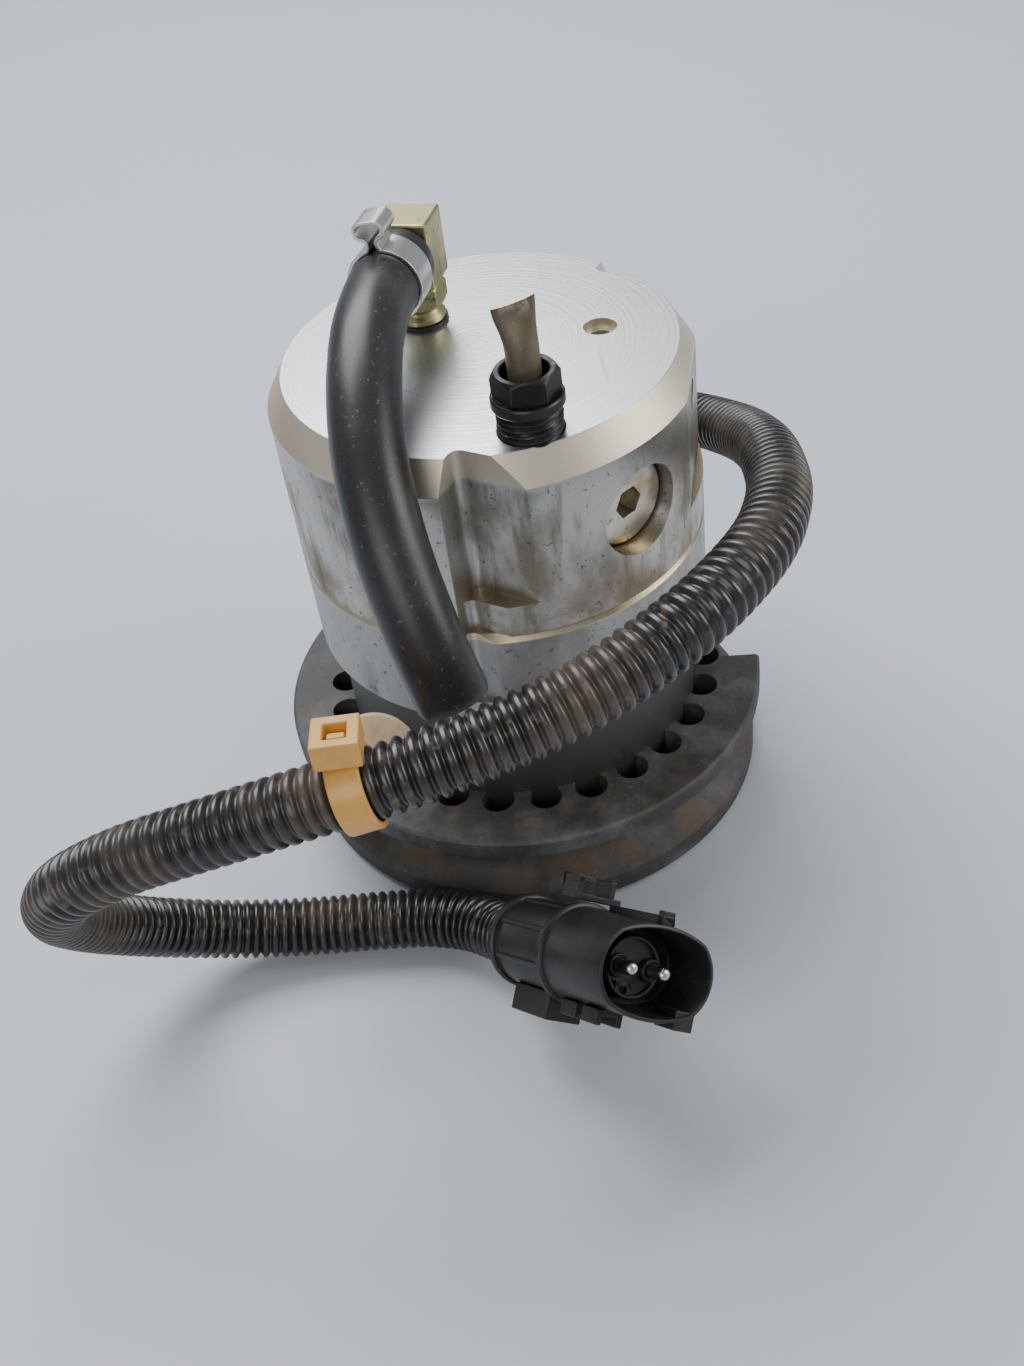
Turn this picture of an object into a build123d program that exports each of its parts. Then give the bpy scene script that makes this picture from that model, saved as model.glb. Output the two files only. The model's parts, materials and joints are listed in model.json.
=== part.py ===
from build123d import *
import math
import os

os.makedirs("parts", exist_ok=True)

# Electric hydraulic pump: a brushed motor in a steel can drives an external gear
# pump in an aluminium head. The motor stands in a rubber isolator ring. The frame's
# origin is the middle of the can's bottom, +Z is the motor axis.
# All sizes are in millimetres.

# ---- driving dimensions ----------------------------------------------------------
running_fit = 0.05          # radial clearance of a shaft in its bearing
assembly_gap = 0.1          # between parts of the stationary body

# pump head and the housing below it
total_height = 113.6
head_r = 44.9
top_r = 41.0
bevel_height = 6.2
joint_z = 73.2
joint_chamfer = 1.6
housing_bottom = 49.7
shallow_flat = 1.6          # how much further out the housing's flat is

# two milled flats: direction of the normal, distance from the axis, start of the cut
front_flat_angle = -122.0
front_flat_distance = 35.1
front_flat_start = 13.4
front_flat_bottom = 80.5
front_step_distance = 38.8
rear_flat_angle = 57.0
rear_flat_distance = 36.2
rear_flat_start = 8.8
rear_flat_bottom = 84.0
cutter_r = 2.0

# side port with its recessed plug
port_angle = -52.0
port_z = 92.5
port_r = 9.6
port_recess = 4.2
port_thread_r = 7.0
port_depth = 14.0
plug_thickness = 8.0
plug_key = 6.0

# right flat, open at the top, with a small bleed port in it
right_flat_angle = -14.0
right_flat_distance = 43.2
right_flat_bottom = 82.0
bleed_z = 101.5
bleed_r = 2.6
bleed_mouth_r = 3.3
bleed_recess = 1.2

# tapped hole in the top
tapped_x = 25.3
tapped_y = 0.8
tapped_r = 2.5
tapped_depth = 11.0
tapped_counterbore_r = 3.5
tapped_counterbore_depth = 2.2

# screws between head and housing
screw_r = 2.5
screw_circle_r = 29.5
screw_first_angle = 20.0

# motor
can_r = 41.5
can_wall = 2.0
can_top = 53.0
can_floor = 2.6
shaft_r = 4.0
core_r = 30.6
core_bottom = 15.0
core_top = 35.0
slot_count = 12
commutator_r = 11.0
commutator_bottom = 40.5
commutator_top = 49.0
brush_z = 44.8
brush_width = 6.0
brush_length = 11.0
brush_travel = 3.0

# gears
gear_module = 1.6
gear_teeth = 12
gear_pressure_angle = 25.0
gear_backlash_angle = 0.35
gear_bottom = 80.3
gear_top = 88.3
pocket_top = 96.2

# pressure port: tube nut, pipe and check valve
nut_x = 7.7
nut_y = -33.7
nut_thread_r = 6.5
nut_bottom = 105.0
nut_collar_bottom = 119.2
nut_collar_top = 121.4
nut_collar_r = 7.05
nut_top = 126.3
nut_across_flats = 11.5
pipe_r = 3.2
pipe_bore_r = 2.1
pipe_top = 140.5
ball_r = 3.0
ball_lift = 2.0
seat_bottom = 92.0
seat_top = 95.0
seat_bore_r = 1.9

# suction elbow and hose
elbow_x = -10.8
elbow_y = 14.2
elbow_angle = -109.4        # the way the barb points
elbow_block_length = 10.4
elbow_block_width = 11.4
elbow_block_bottom = 123.0
elbow_block_top = 137.2
barb_z = 130.2
hose_r = 7.0
hose_bore_r = 4.0
hose_bore_fit = 0.05
barb_length = 10.0
clamp_start = 4.6
clamp_width = 7.0
clamp_thickness = 0.7
clamp_ear_lean = 16.0

# rubber isolator ring
ring_top = 25.0
rim_r = 57.1
rim_thickness = 5.2
groove_r = 50.8
lower_flange_r = 55.5
ring_notch_count = 26
ring_notch_r = 3.7
ring_notch_middle = 43.8
ring_notch_first = -102.8
ring_notch_bottom = 6.0
rim_cut_from = -7.0
rim_cut_to = 62.0
rim_cut_r = 47.6

# conduit, its gland and the cable tie
conduit_r = 6.5
gland_y = 56.0
gland_z = 60.0
gland_end = 8.0
gland_length = 10.0
gland_r = 10.2
tie_width = 6.4
tie_thickness = 1.3

# connector, in its own frame: +Z out of the mouth, +X along the oval
connector_origin = Vector(-7.2, -75.05, 15.3)
connector_azimuth = -54.0
connector_rise = 33.0
connector_roll = -44.5
connector_length = 44.0
collar_r = 9.8
collar_length = 2.0
barrel_r = 9.1
flange_r = 10.3
flange_z = 20.5
flange_thickness = 1.8
mouth_start = 31.0
mouth_half_straight = 4.0
mouth_r = 9.1
mouth_wall = 1.1
mouth_shift = 2.9
socket_depth = 13.0
insert_x = 1.8
insert_r = 6.2
insert_top = 37.5
pin_r = 1.4
pin_spacing = 7.5


def direction(angle, reach=1.0, z=0.0):
    """A point at an angle about the motor axis."""
    return (reach * math.cos(math.radians(angle)), reach * math.sin(math.radians(angle)), z)


def side_plane(angle, reach, z):
    """A plane facing outwards from the motor axis, its local y pointing up."""
    return Plane(origin=direction(angle, reach, z), x_dir=direction(angle + 90), z_dir=direction(angle))


def flat_plane(angle, z, mirrored=False):
    """A horizontal plane whose local y points at the angle."""
    return Plane(origin=(0, 0, z), x_dir=direction(angle - 90 if mirrored else angle + 90), z_dir=(0, 0, 1))


def save(part, name):
    """Label a finished piece and write its STEP file."""
    part.label = name
    export_step(part, f"parts/{name}.step")


def corner_radii(route):
    """The radius of each inner corner: 0.45 of the shorter run over tan(half the turn)."""
    radii = []
    for before, corner, after in zip(route, route[1:], route[2:]):
        run_in = Vector(corner) - Vector(before)
        run_out = Vector(after) - Vector(corner)
        half_turn = math.radians(run_in.get_angle(run_out) / 2)
        radii.append(0.45 * min(run_in.length, run_out.length) / math.tan(half_turn))
    return radii


def report_route(name, route, radii, tube, section):
    """Print a cord's length, its radii and its volume beside section times length."""
    path = FilletPolyline(*route, radius=radii, mode=Mode.PRIVATE)
    print(f"{name}: length {path.length:.1f}, radii", [round(r, 1) for r in radii])
    print(f"{name}: volume {tube.volume:.0f}, section x length {section * path.length:.0f}")


connector_axis = Vector(
    math.cos(math.radians(connector_rise)) * math.cos(math.radians(connector_azimuth)),
    math.cos(math.radians(connector_rise)) * math.sin(math.radians(connector_azimuth)),
    math.sin(math.radians(connector_rise)),
)
connector_level = Vector(direction(connector_azimuth + 90))
connector_x = connector_level.rotate(Axis((0, 0, 0), connector_axis), connector_roll)
connector_frame = Plane(origin=connector_origin, x_dir=connector_x, z_dir=connector_axis)

barb_direction = Vector(direction(elbow_angle))
barb_frame = Plane(origin=(elbow_x, elbow_y, barb_z), x_dir=(0, 0, 1), z_dir=barb_direction)
hose_start = Vector(elbow_x, elbow_y, barb_z) + barb_direction * (elbow_block_length / 2 + 0.4)

# ---- routes ----------------------------------------------------------------------
conduit_route = [
    (gland_end, gland_y, gland_z),
    (25.0, 56.0, 60.0),
    (41.0, 49.0, 62.0),
    (52.5, 33.0, 66.5),
    (57.5, 11.0, 76.0),
    (57.5, -13.0, 86.5),
    (54.5, -37.0, 93.5),
    (47.0, -57.5, 97.5),
    (32.5, -74.0, 97.5),
    (14.0, -84.5, 93.5),
    (-4.0, -89.5, 89.5),
    (-22.0, -92.5, 86.8),
    (-40.0, -92.5, 83.0),
    (-58.0, -91.0, 77.5),
    (-76.0, -88.5, 71.0),
    (-89.5, -85.5, 62.5),
    (-97.5, -78.5, 49.0),
    (-96.5, -69.0, 33.5),
    (-87.5, -61.0, 19.5),
    (-73.0, -57.0, 10.5),
    (-56.0, -56.5, 7.0),
    (-39.0, -57.3, 6.6),
    (-28.5, -58.3, 6.6),
    (-18.8, -62.2, 8.0),
    tuple(connector_origin - connector_axis * 9.0),
    tuple(connector_origin),
]
hose_route = [
    tuple(hose_start),
    tuple(hose_start + barb_direction * 15.5),
    (-20.4, -19.0, 129.6),
    (-22.0, -33.0, 125.0),
    (-22.3, -46.0, 117.0),
    (-20.4, -57.0, 106.0),
    (-17.2, -65.0, 94.0),
    (-13.4, -70.0, 81.0),
]
tie_point = Vector(-31.0, -92.5, 84.9)
tie_direction = Vector(-18.0, 0.0, -3.8).normalized()
tie_frame = Plane(origin=tie_point, x_dir=(0, 1, 0), z_dir=tie_direction)
tie_head_frame = Plane(origin=tie_point + Vector(-1.5, 1.0, 0), x_dir=tie_direction, z_dir=(0, 0.1, 1))
tie_foot_centre = Vector(-28.6, -81.2, 80.6)
tie_foot_normal = Vector(0.08, -0.60, 0.795).normalized()
tie_foot_frame = Plane(origin=tie_foot_centre, x_dir=(1, 0, -0.1), z_dir=tie_foot_normal)

# ---- pump head: turned block with ports, flats and the gear pocket ---------------
gear_centres = gear_module * gear_teeth
gear_pitch_r = gear_centres / 2
gear_tip_r = gear_pitch_r + 0.94 * gear_module
gear_root_r = gear_pitch_r - 1.19 * gear_module
pocket_r = gear_tip_r + running_fit

with BuildPart() as pump_head:
    with BuildSketch(Plane.XZ):
        with BuildLine():
            Polyline(
                (0, joint_z),
                (head_r, joint_z),
                (head_r, total_height - bevel_height),
                (top_r, total_height),
                (0, total_height),
                close=True,
            )
        make_face()
    revolve(axis=Axis.Z)
    # front flat with its ledge, then the shallower step under the ledge
    with BuildSketch(flat_plane(front_flat_angle, front_flat_bottom, mirrored=False)):
        with Locations((front_flat_start, -front_flat_distance)):
            RectangleRounded(60, 60, cutter_r, align=(Align.MIN, Align.MAX))
    extrude(amount=60, mode=Mode.SUBTRACT)
    with BuildSketch(flat_plane(front_flat_angle, joint_z, mirrored=False)):
        with Locations((front_flat_start, -front_step_distance)):
            RectangleRounded(60, 60, cutter_r, align=(Align.MIN, Align.MAX))
    extrude(amount=60, mode=Mode.SUBTRACT)
    # rear flat
    with BuildSketch(flat_plane(rear_flat_angle, rear_flat_bottom, mirrored=True)):
        with Locations((rear_flat_start, rear_flat_distance)):
            RectangleRounded(60, 60, cutter_r, align=(Align.MIN, Align.MIN))
    extrude(amount=60, mode=Mode.SUBTRACT)
    # side port: recess and threaded bore
    with BuildSketch(side_plane(port_angle, head_r + 1, port_z)):
        Circle(port_r)
    extrude(amount=-(port_recess + 1 + 3.1), mode=Mode.SUBTRACT)
    with BuildSketch(side_plane(port_angle, head_r, port_z)):
        Circle(port_thread_r)
    extrude(amount=-(port_depth + 4), mode=Mode.SUBTRACT)
    # right flat, and the bleed port with its widened mouth
    with BuildSketch(side_plane(right_flat_angle, right_flat_distance, right_flat_bottom)):
        Rectangle(40, 40, align=(Align.CENTER, Align.MIN))
    extrude(amount=8, mode=Mode.SUBTRACT)
    with BuildSketch(side_plane(right_flat_angle, right_flat_distance, bleed_z)):
        Circle(bleed_mouth_r)
    extrude(amount=-0.7, mode=Mode.SUBTRACT)
    with BuildSketch(side_plane(right_flat_angle, right_flat_distance, bleed_z)):
        Circle(bleed_r)
    extrude(amount=-9.5, mode=Mode.SUBTRACT)
    # tapped hole in the top
    with Locations((tapped_x, tapped_y, total_height)):
        CounterBoreHole(tapped_r, tapped_counterbore_r, tapped_counterbore_depth, tapped_depth)
    # pressure port: threaded mouth, valve chamber, seat bore and passage
    with Locations((nut_x, nut_y, total_height)):
        Hole(nut_thread_r + assembly_gap, depth=total_height - nut_bottom + 2.5)
        Hole(4.6, depth=total_height - seat_bottom)
        Hole(seat_bore_r, depth=total_height - 83)
    with BuildSketch(Plane(origin=(nut_x, nut_y, 84.5), x_dir=(0, 0, 1), z_dir=(-0.52, 0.854, 0))):
        Circle(2.2)
    extrude(amount=25, mode=Mode.SUBTRACT)
    # suction port: threaded mouth and passage
    with Locations((elbow_x, elbow_y, total_height)):
        Hole(4.6, depth=9.5)
        Hole(3.0, depth=total_height - 82)
    with BuildSketch(Plane(origin=(elbow_x, elbow_y, 84.5), x_dir=(0, 0, 1), z_dir=(0, -1, 0))):
        Circle(2.4)
    extrude(amount=11, mode=Mode.SUBTRACT)
    # gear pocket, open at the joint, and the shaft's end clearance
    with BuildSketch(Plane.XY.offset(joint_z)):
        Circle(pocket_r)
        with Locations((-gear_centres, 0)):
            Circle(pocket_r)
    extrude(amount=pocket_top - joint_z, mode=Mode.SUBTRACT)
    # threaded holes for the joint's screws
    with BuildSketch(Plane.XY.offset(joint_z)):
        with PolarLocations(screw_circle_r, 3, start_angle=screw_first_angle):
            Circle(screw_r + assembly_gap)
    extrude(amount=11.0, mode=Mode.SUBTRACT)
    # groove for the joint's seal
    with BuildSketch(Plane.XY.offset(joint_z)):
        Circle(37.0)
        Circle(34.6, mode=Mode.SUBTRACT)
    extrude(amount=1.9, mode=Mode.SUBTRACT)
save(pump_head.part, "pump_head")

# ---- lower housing: carries the bearing and seal, and the cable exit -------------
with BuildPart() as lower_housing:
    with BuildSketch(Plane.XZ):
        with BuildLine():
            Polyline(
                (0, joint_z - 7.6),
                (37.6, joint_z - 7.6),
                (37.6, can_top + 0.2),
                (can_r + assembly_gap, can_top + 0.2),
                (can_r + assembly_gap, housing_bottom),
                (head_r - 0.8, housing_bottom),
                (head_r, housing_bottom + 0.8),
                (head_r, joint_z - joint_chamfer),
                (head_r - joint_chamfer, joint_z),
                (0, joint_z),
                close=True,
            )
        make_face()
    revolve(axis=Axis.Z)
    with BuildSketch(flat_plane(front_flat_angle, housing_bottom + 6.0)):
        with Locations((front_flat_start, -(front_step_distance + shallow_flat))):
            RectangleRounded(60, 60, cutter_r, align=(Align.MIN, Align.MAX))
    extrude(amount=60, mode=Mode.SUBTRACT)
    # boss of the cable exit
    with BuildSketch(Plane.YZ.offset(gland_end - gland_length)):
        with Locations((gland_y, gland_z)):
            Circle(gland_r)
        with Locations((gland_y, gland_z)):
            Rectangle(gland_y - 36, 2 * gland_r - 3, align=(Align.MAX, Align.CENTER))
    extrude(amount=-16)
    with Locations((0, 0, can_top + 0.2)):
        Cylinder(
            37.6,
            joint_z - 7.6 - can_top - 0.2,
            align=(Align.CENTER, Align.CENTER, Align.MIN),
            mode=Mode.SUBTRACT,
        )
        Cylinder(can_r + assembly_gap, 10, align=(Align.CENTER, Align.CENTER, Align.MAX), mode=Mode.SUBTRACT)
    # bearing seat, seal seat and shaft hole
    with Locations((0, 0, joint_z - 7.6)):
        Cylinder(14.0, 4.6, align=(Align.CENTER, Align.CENTER, Align.MAX))
    with Locations((0, 0, joint_z)):
        Hole(8.1, depth=4.2)
        Hole(5.0, depth=20)
    with Locations((0, 0, joint_z - 12.2)):
        Cylinder(11.1, 6.2, align=(Align.CENTER, Align.CENTER, Align.MIN), mode=Mode.SUBTRACT)
    # clearance holes for the joint's screws
    with BuildSketch(Plane.XY.offset(joint_z)):
        with PolarLocations(screw_circle_r, 3, start_angle=screw_first_angle):
            Circle(screw_r + 0.3)
    extrude(amount=-10, mode=Mode.SUBTRACT)
    # cable passage from the boss into the brush space
    with BuildSketch(Plane.YZ.offset(gland_end - gland_length)):
        with Locations((gland_y, gland_z)):
            Circle(4.2)
    extrude(amount=-12, mode=Mode.SUBTRACT)
    with BuildSketch(Plane(origin=(-8.5, gland_y + 3, gland_z), x_dir=(1, 0, 0), z_dir=(0, -1, 0))):
        Circle(3.6)
    extrude(amount=30, mode=Mode.SUBTRACT)
save(lower_housing.part, "lower_housing")

# ---- motor can: drawn steel cup with the rear bearing's pocket -------------------
with BuildPart() as motor_can:
    with BuildSketch(Plane.XZ):
        with BuildLine():
            Polyline(
                (0, 0),
                (can_r, 0),
                (can_r, can_top),
                (can_r - can_wall, can_top),
                (can_r - can_wall, can_floor),
                (10.0, can_floor),
                (10.0, 10.0),
                (7.1, 10.0),
                (7.1, can_floor),
                (0, can_floor),
                close=True,
            )
        make_face()
    revolve(axis=Axis.Z)
    fillet(motor_can.edges().filter_by(GeomType.CIRCLE).group_by(Axis.Z)[0].sort_by(SortBy.RADIUS)[-1], 2.5)
save(motor_can.part, "motor_can")

# ---- rubber isolator ring: two flanges, a groove between and a toothed bore ------
with BuildPart() as isolator_ring:
    with BuildSketch(Plane.XZ):
        with BuildLine():
            Polyline((can_r + 0.02, 1.0), (can_r + 1.0, 0), (54.0, 0), (lower_flange_r, 1.6))
            Polyline((lower_flange_r, 1.6), (lower_flange_r, 6.4), (groove_r + 0.6, 10.0))
            ThreePointArc((groove_r + 0.6, 10.0), (groove_r - 0.8, 13.8), (groove_r + 0.4, 17.6))
            Polyline((groove_r + 0.4, 17.6), (rim_r - 0.8, ring_top - rim_thickness))
            Polyline((rim_r - 0.8, ring_top - rim_thickness), (rim_r, ring_top - rim_thickness + 0.8))
            Polyline((rim_r, ring_top - rim_thickness + 0.8), (rim_r, ring_top - 0.7))
            Polyline((rim_r, ring_top - 0.7), (rim_r - 0.7, ring_top), (can_r + 0.02, ring_top))
            Line((can_r + 0.02, ring_top), (can_r + 0.02, 1.0))
        make_face()
    revolve(axis=Axis.Z)
    # half-round notches round the bore
    with BuildSketch(Plane.XY.offset(ring_notch_bottom)):
        with PolarLocations(ring_notch_middle, ring_notch_count, start_angle=ring_notch_first):
            Circle(ring_notch_r)
    extrude(amount=ring_top, mode=Mode.SUBTRACT)
    # the rim is cut away over a sector, as deep as the groove's upper wall
    with BuildSketch(Plane.XY.offset(ring_top - rim_thickness - 4.0)):
        with BuildLine():
            Line(direction(rim_cut_from, rim_cut_r), direction(rim_cut_from, 70))
            RadiusArc(direction(rim_cut_from, 70), direction(rim_cut_to, 70), -70)
            Line(direction(rim_cut_to, 70), direction(rim_cut_to, rim_cut_r))
            RadiusArc(direction(rim_cut_to, rim_cut_r), direction(rim_cut_from, rim_cut_r), rim_cut_r)
        make_face()
    extrude(amount=20, mode=Mode.SUBTRACT)
save(isolator_ring.part, "isolator_ring")

# ---- joint seal and the screws that hold head and housing together ---------------
with BuildPart() as joint_seal:
    with Locations((0, 0, joint_z + 0.92)):
        Torus(35.8, 0.85)
save(joint_seal.part, "joint_seal")

# ---- side plug: recessed screw plug with a hexagon socket, and its seal ----------
plug_face = head_r - port_recess
with BuildPart() as side_plug:
    with BuildSketch(side_plane(port_angle, plug_face, port_z)):
        Circle(port_r - 0.35)
    extrude(amount=-3.0)
    with BuildSketch(side_plane(port_angle, plug_face - 3.0, port_z)):
        Circle(port_thread_r - assembly_gap)
    extrude(amount=-plug_thickness)
    with BuildSketch(side_plane(port_angle, plug_face, port_z)):
        RegularPolygon(plug_key / 2, 6, major_radius=False)
    extrude(amount=-5.0, mode=Mode.SUBTRACT)
    chamfer(side_plug.edges().filter_by(GeomType.CIRCLE).sort_by(SortBy.RADIUS)[-2:], 0.5)
save(side_plug.part, "side_plug")

with BuildPart() as bleed_plug:
    with BuildSketch(side_plane(right_flat_angle, right_flat_distance - bleed_recess, bleed_z)):
        Circle(bleed_r - assembly_gap)
    extrude(amount=-6.5)
    with BuildSketch(side_plane(right_flat_angle, right_flat_distance - bleed_recess, bleed_z)):
        RegularPolygon(1.3, 6, major_radius=False)
    extrude(amount=-2.4, mode=Mode.SUBTRACT)
save(bleed_plug.part, "bleed_plug")

# ---- tube nut, pipe and the check valve under them -------------------------------
with BuildPart() as tube_nut:
    with Locations((nut_x, nut_y, nut_bottom)):
        Cylinder(nut_thread_r, nut_collar_bottom - nut_bottom, align=(Align.CENTER, Align.CENTER, Align.MIN))
    with Locations((nut_x, nut_y, nut_collar_bottom)):
        Cylinder(
            nut_collar_r,
            nut_collar_top - nut_collar_bottom,
            align=(Align.CENTER, Align.CENTER, Align.MIN),
        )
    with BuildSketch(Plane.XY.offset(nut_collar_top)):
        with Locations((nut_x, nut_y)):
            RegularPolygon(nut_across_flats / 2, 6, major_radius=False)
    extrude(amount=nut_top - nut_collar_top)
    with Locations((nut_x, nut_y, nut_top)):
        Hole(4.4, depth=6.5)
        Hole(pipe_r + assembly_gap, depth=nut_top - nut_bottom)
    # thread turns, as plain grooves
    groove_z = nut_bottom + 1.2
    while groove_z < nut_collar_bottom - 0.6:
        with Locations((nut_x, nut_y, groove_z)):
            Torus(nut_thread_r + 0.12, 0.42, mode=Mode.SUBTRACT)
        groove_z += 1.25
save(tube_nut.part, "tube_nut")

with BuildPart() as pipe_stub:
    with Locations((nut_x, nut_y, nut_bottom + 0.2)):
        Cylinder(pipe_r, pipe_top - nut_bottom - 0.2, align=(Align.CENTER, Align.CENTER, Align.MIN))
        Cylinder(
            pipe_bore_r,
            pipe_top - nut_bottom - 0.2,
            align=(Align.CENTER, Align.CENTER, Align.MIN),
            mode=Mode.SUBTRACT,
        )
    # the end is cut off at a slant
    with BuildSketch(Plane(origin=(nut_x, nut_y, pipe_top - 0.9), x_dir=(1, 0, 0.27), z_dir=(-0.27, 0, 1))):
        Rectangle(20, 20)
    extrude(amount=6, mode=Mode.SUBTRACT)
save(pipe_stub.part, "pipe_stub")

with BuildPart() as valve_seat:
    with Locations((nut_x, nut_y, seat_bottom + 0.05)):
        Cylinder(4.55, seat_top - seat_bottom - 0.05, align=(Align.CENTER, Align.CENTER, Align.MIN))
    with Locations((nut_x, nut_y, seat_top)):
        Hole(seat_bore_r, depth=5)
save(valve_seat.part, "valve_seat")

ball_z = seat_top + math.sqrt(ball_r**2 - seat_bore_r**2) + 0.02
with BuildPart() as check_ball:
    with Locations((nut_x, nut_y, ball_z)):
        Sphere(ball_r)
save(check_ball.part, "check_ball")

spring_bottom = ball_z + 2.35
with BuildPart() as check_spring:
    with BuildLine() as spring_line:
        Helix(
            pitch=(nut_bottom - 0.35 - spring_bottom) / 4,
            height=nut_bottom - 0.35 - spring_bottom,
            radius=2.35,
            center=(nut_x, nut_y, spring_bottom),
        )
    with BuildSketch(Plane(origin=spring_line.line @ 0, z_dir=spring_line.line % 0)):
        Circle(0.28)
    sweep(is_frenet=True)
save(check_spring.part, "check_spring")

# ---- suction elbow: flange, hexagon, block and hose barb -------------------------
with BuildPart() as elbow_fitting:
    with Locations((elbow_x, elbow_y, total_height - 9.0)):
        Cylinder(4.5, 9.0 + 4.2, align=(Align.CENTER, Align.CENTER, Align.MIN))
    with Locations((elbow_x, elbow_y, total_height + 0.9)):
        Cylinder(5.1, 1.5, align=(Align.CENTER, Align.CENTER, Align.MIN))
    with BuildSketch(Plane.XY.offset(total_height + 3.6)):
        with Locations((elbow_x, elbow_y)):
            RegularPolygon(5.25, 6, major_radius=False, rotation=6)
    extrude(amount=elbow_block_bottom - total_height - 3.6)
    with BuildSketch(Plane(origin=(elbow_x, elbow_y, elbow_block_bottom), x_dir=direction(elbow_angle), z_dir=(0, 0, 1))):
        Rectangle(elbow_block_length, elbow_block_width)
    extrude(amount=elbow_block_top - elbow_block_bottom)
    chamfer(elbow_fitting.faces().sort_by(Axis.Z)[-1].edges(), 0.5)
    with BuildSketch(barb_frame):
        Circle(hose_bore_r - hose_bore_fit)
    extrude(amount=elbow_block_length / 2 + 0.4 + barb_length)
    # inner passage: up from the port, then out through the barb
    with Locations((elbow_x, elbow_y, total_height - 9.0)):
        Cylinder(
            2.4,
            barb_z - total_height + 9.0,
            align=(Align.CENTER, Align.CENTER, Align.MIN),
            mode=Mode.SUBTRACT,
        )
    with BuildSketch(barb_frame):
        Circle(2.4)
    extrude(amount=20, mode=Mode.SUBTRACT)
save(elbow_fitting.part, "elbow_fitting")

with BuildPart() as elbow_washer:
    with Locations((elbow_x, elbow_y, total_height + 0.02)):
        Cylinder(5.6, 0.85, align=(Align.CENTER, Align.CENTER, Align.MIN))
        Cylinder(4.55, 0.85, align=(Align.CENTER, Align.CENTER, Align.MIN), mode=Mode.SUBTRACT)
save(elbow_washer.part, "elbow_washer")

# ---- hose: free rubber tube, open at its cut end ---------------------------------
hose_radii = corner_radii(hose_route)
hose_plane = Plane(origin=hose_route[0], z_dir=barb_direction)
with BuildPart() as hose:
    with BuildLine():
        FilletPolyline(*hose_route, radius=hose_radii)
    with BuildSketch(hose_plane):
        Circle(hose_r)
    sweep()
    with BuildLine():
        FilletPolyline(*hose_route, radius=hose_radii)
    with BuildSketch(hose_plane):
        Circle(hose_bore_r)
    sweep(mode=Mode.SUBTRACT)
save(hose.part, "hose")
report_route("hose", hose_route, hose_radii, hose.part, math.pi * (hose_r**2 - hose_bore_r**2))

# ---- ear clamp on the hose -------------------------------------------------------
clamp_frame = Plane(
    origin=hose_start + barb_direction * clamp_start,
    x_dir=Vector(0, 0, 1).rotate(Axis((0, 0, 0), tuple(barb_direction)), clamp_ear_lean),
    z_dir=barb_direction,
)
clamp_outer_r = hose_r + 0.06 + clamp_thickness
with BuildPart() as hose_clamp:
    with BuildSketch(clamp_frame):
        Circle(clamp_outer_r)
        Circle(hose_r + 0.06, mode=Mode.SUBTRACT)
        # omega ear: a rounded loop standing on two necks
        with Locations((clamp_outer_r + 3.5, 0)):
            SlotOverall(6.6, 4.2, rotation=90)
            SlotOverall(6.6 - 1.4, 4.2 - 1.4, rotation=90, mode=Mode.SUBTRACT)
        with Locations((clamp_outer_r + 0.7, 1.0), (clamp_outer_r + 0.7, -1.0)):
            Rectangle(2.0, 0.7)
    extrude(amount=clamp_width)
save(hose_clamp.part, "hose_clamp")

# ---- gland and conduit -----------------------------------------------------------
with BuildPart() as conduit_gland:
    with BuildSketch(Plane.YZ.offset(gland_end - gland_length + 0.1)):
        with Locations((gland_y, gland_z)):
            RegularPolygon(9.4, 6, major_radius=False)
    extrude(amount=4.4)
    with BuildSketch(Plane.YZ.offset(gland_end - gland_length + 4.5)):
        with Locations((gland_y, gland_z)):
            Circle(8.4)
    extrude(amount=gland_length - 4.5)
    with BuildSketch(Plane.YZ.offset(gland_end)):
        with Locations((gland_y, gland_z)):
            Circle(4.2)
    extrude(amount=-gland_length, mode=Mode.SUBTRACT)
save(conduit_gland.part, "conduit_gland")

conduit_radii = corner_radii(conduit_route)
with BuildPart() as conduit:
    with BuildLine():
        FilletPolyline(*conduit_route, radius=conduit_radii)
    with BuildSketch(Plane(origin=conduit_route[0], z_dir=(1, 0, 0))):
        Circle(conduit_r)
    sweep()
save(conduit.part, "conduit")
report_route("conduit", conduit_route, conduit_radii, conduit.part, math.pi * conduit_r**2)

# ---- cable tie round the conduit, and its push-in foot ---------------------------
tie_inner_r = conduit_r + 0.15
tie_outer_r = tie_inner_r + tie_thickness
with BuildPart() as cable_tie:
    with BuildSketch(tie_frame.offset(-tie_width / 2)):
        Circle(tie_outer_r)
        Circle(tie_inner_r, mode=Mode.SUBTRACT)
    extrude(amount=tie_width)
    with BuildSketch(tie_head_frame.offset(tie_outer_r - 0.4)):
        RectangleRounded(8.4, 8.4, 0.8)
    extrude(amount=5.4)
    with BuildSketch(tie_head_frame.offset(tie_outer_r + 1.2)):
        Rectangle(3.4, 3.0)
    extrude(amount=5.0, mode=Mode.SUBTRACT)
save(cable_tie.part, "cable_tie")

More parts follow.
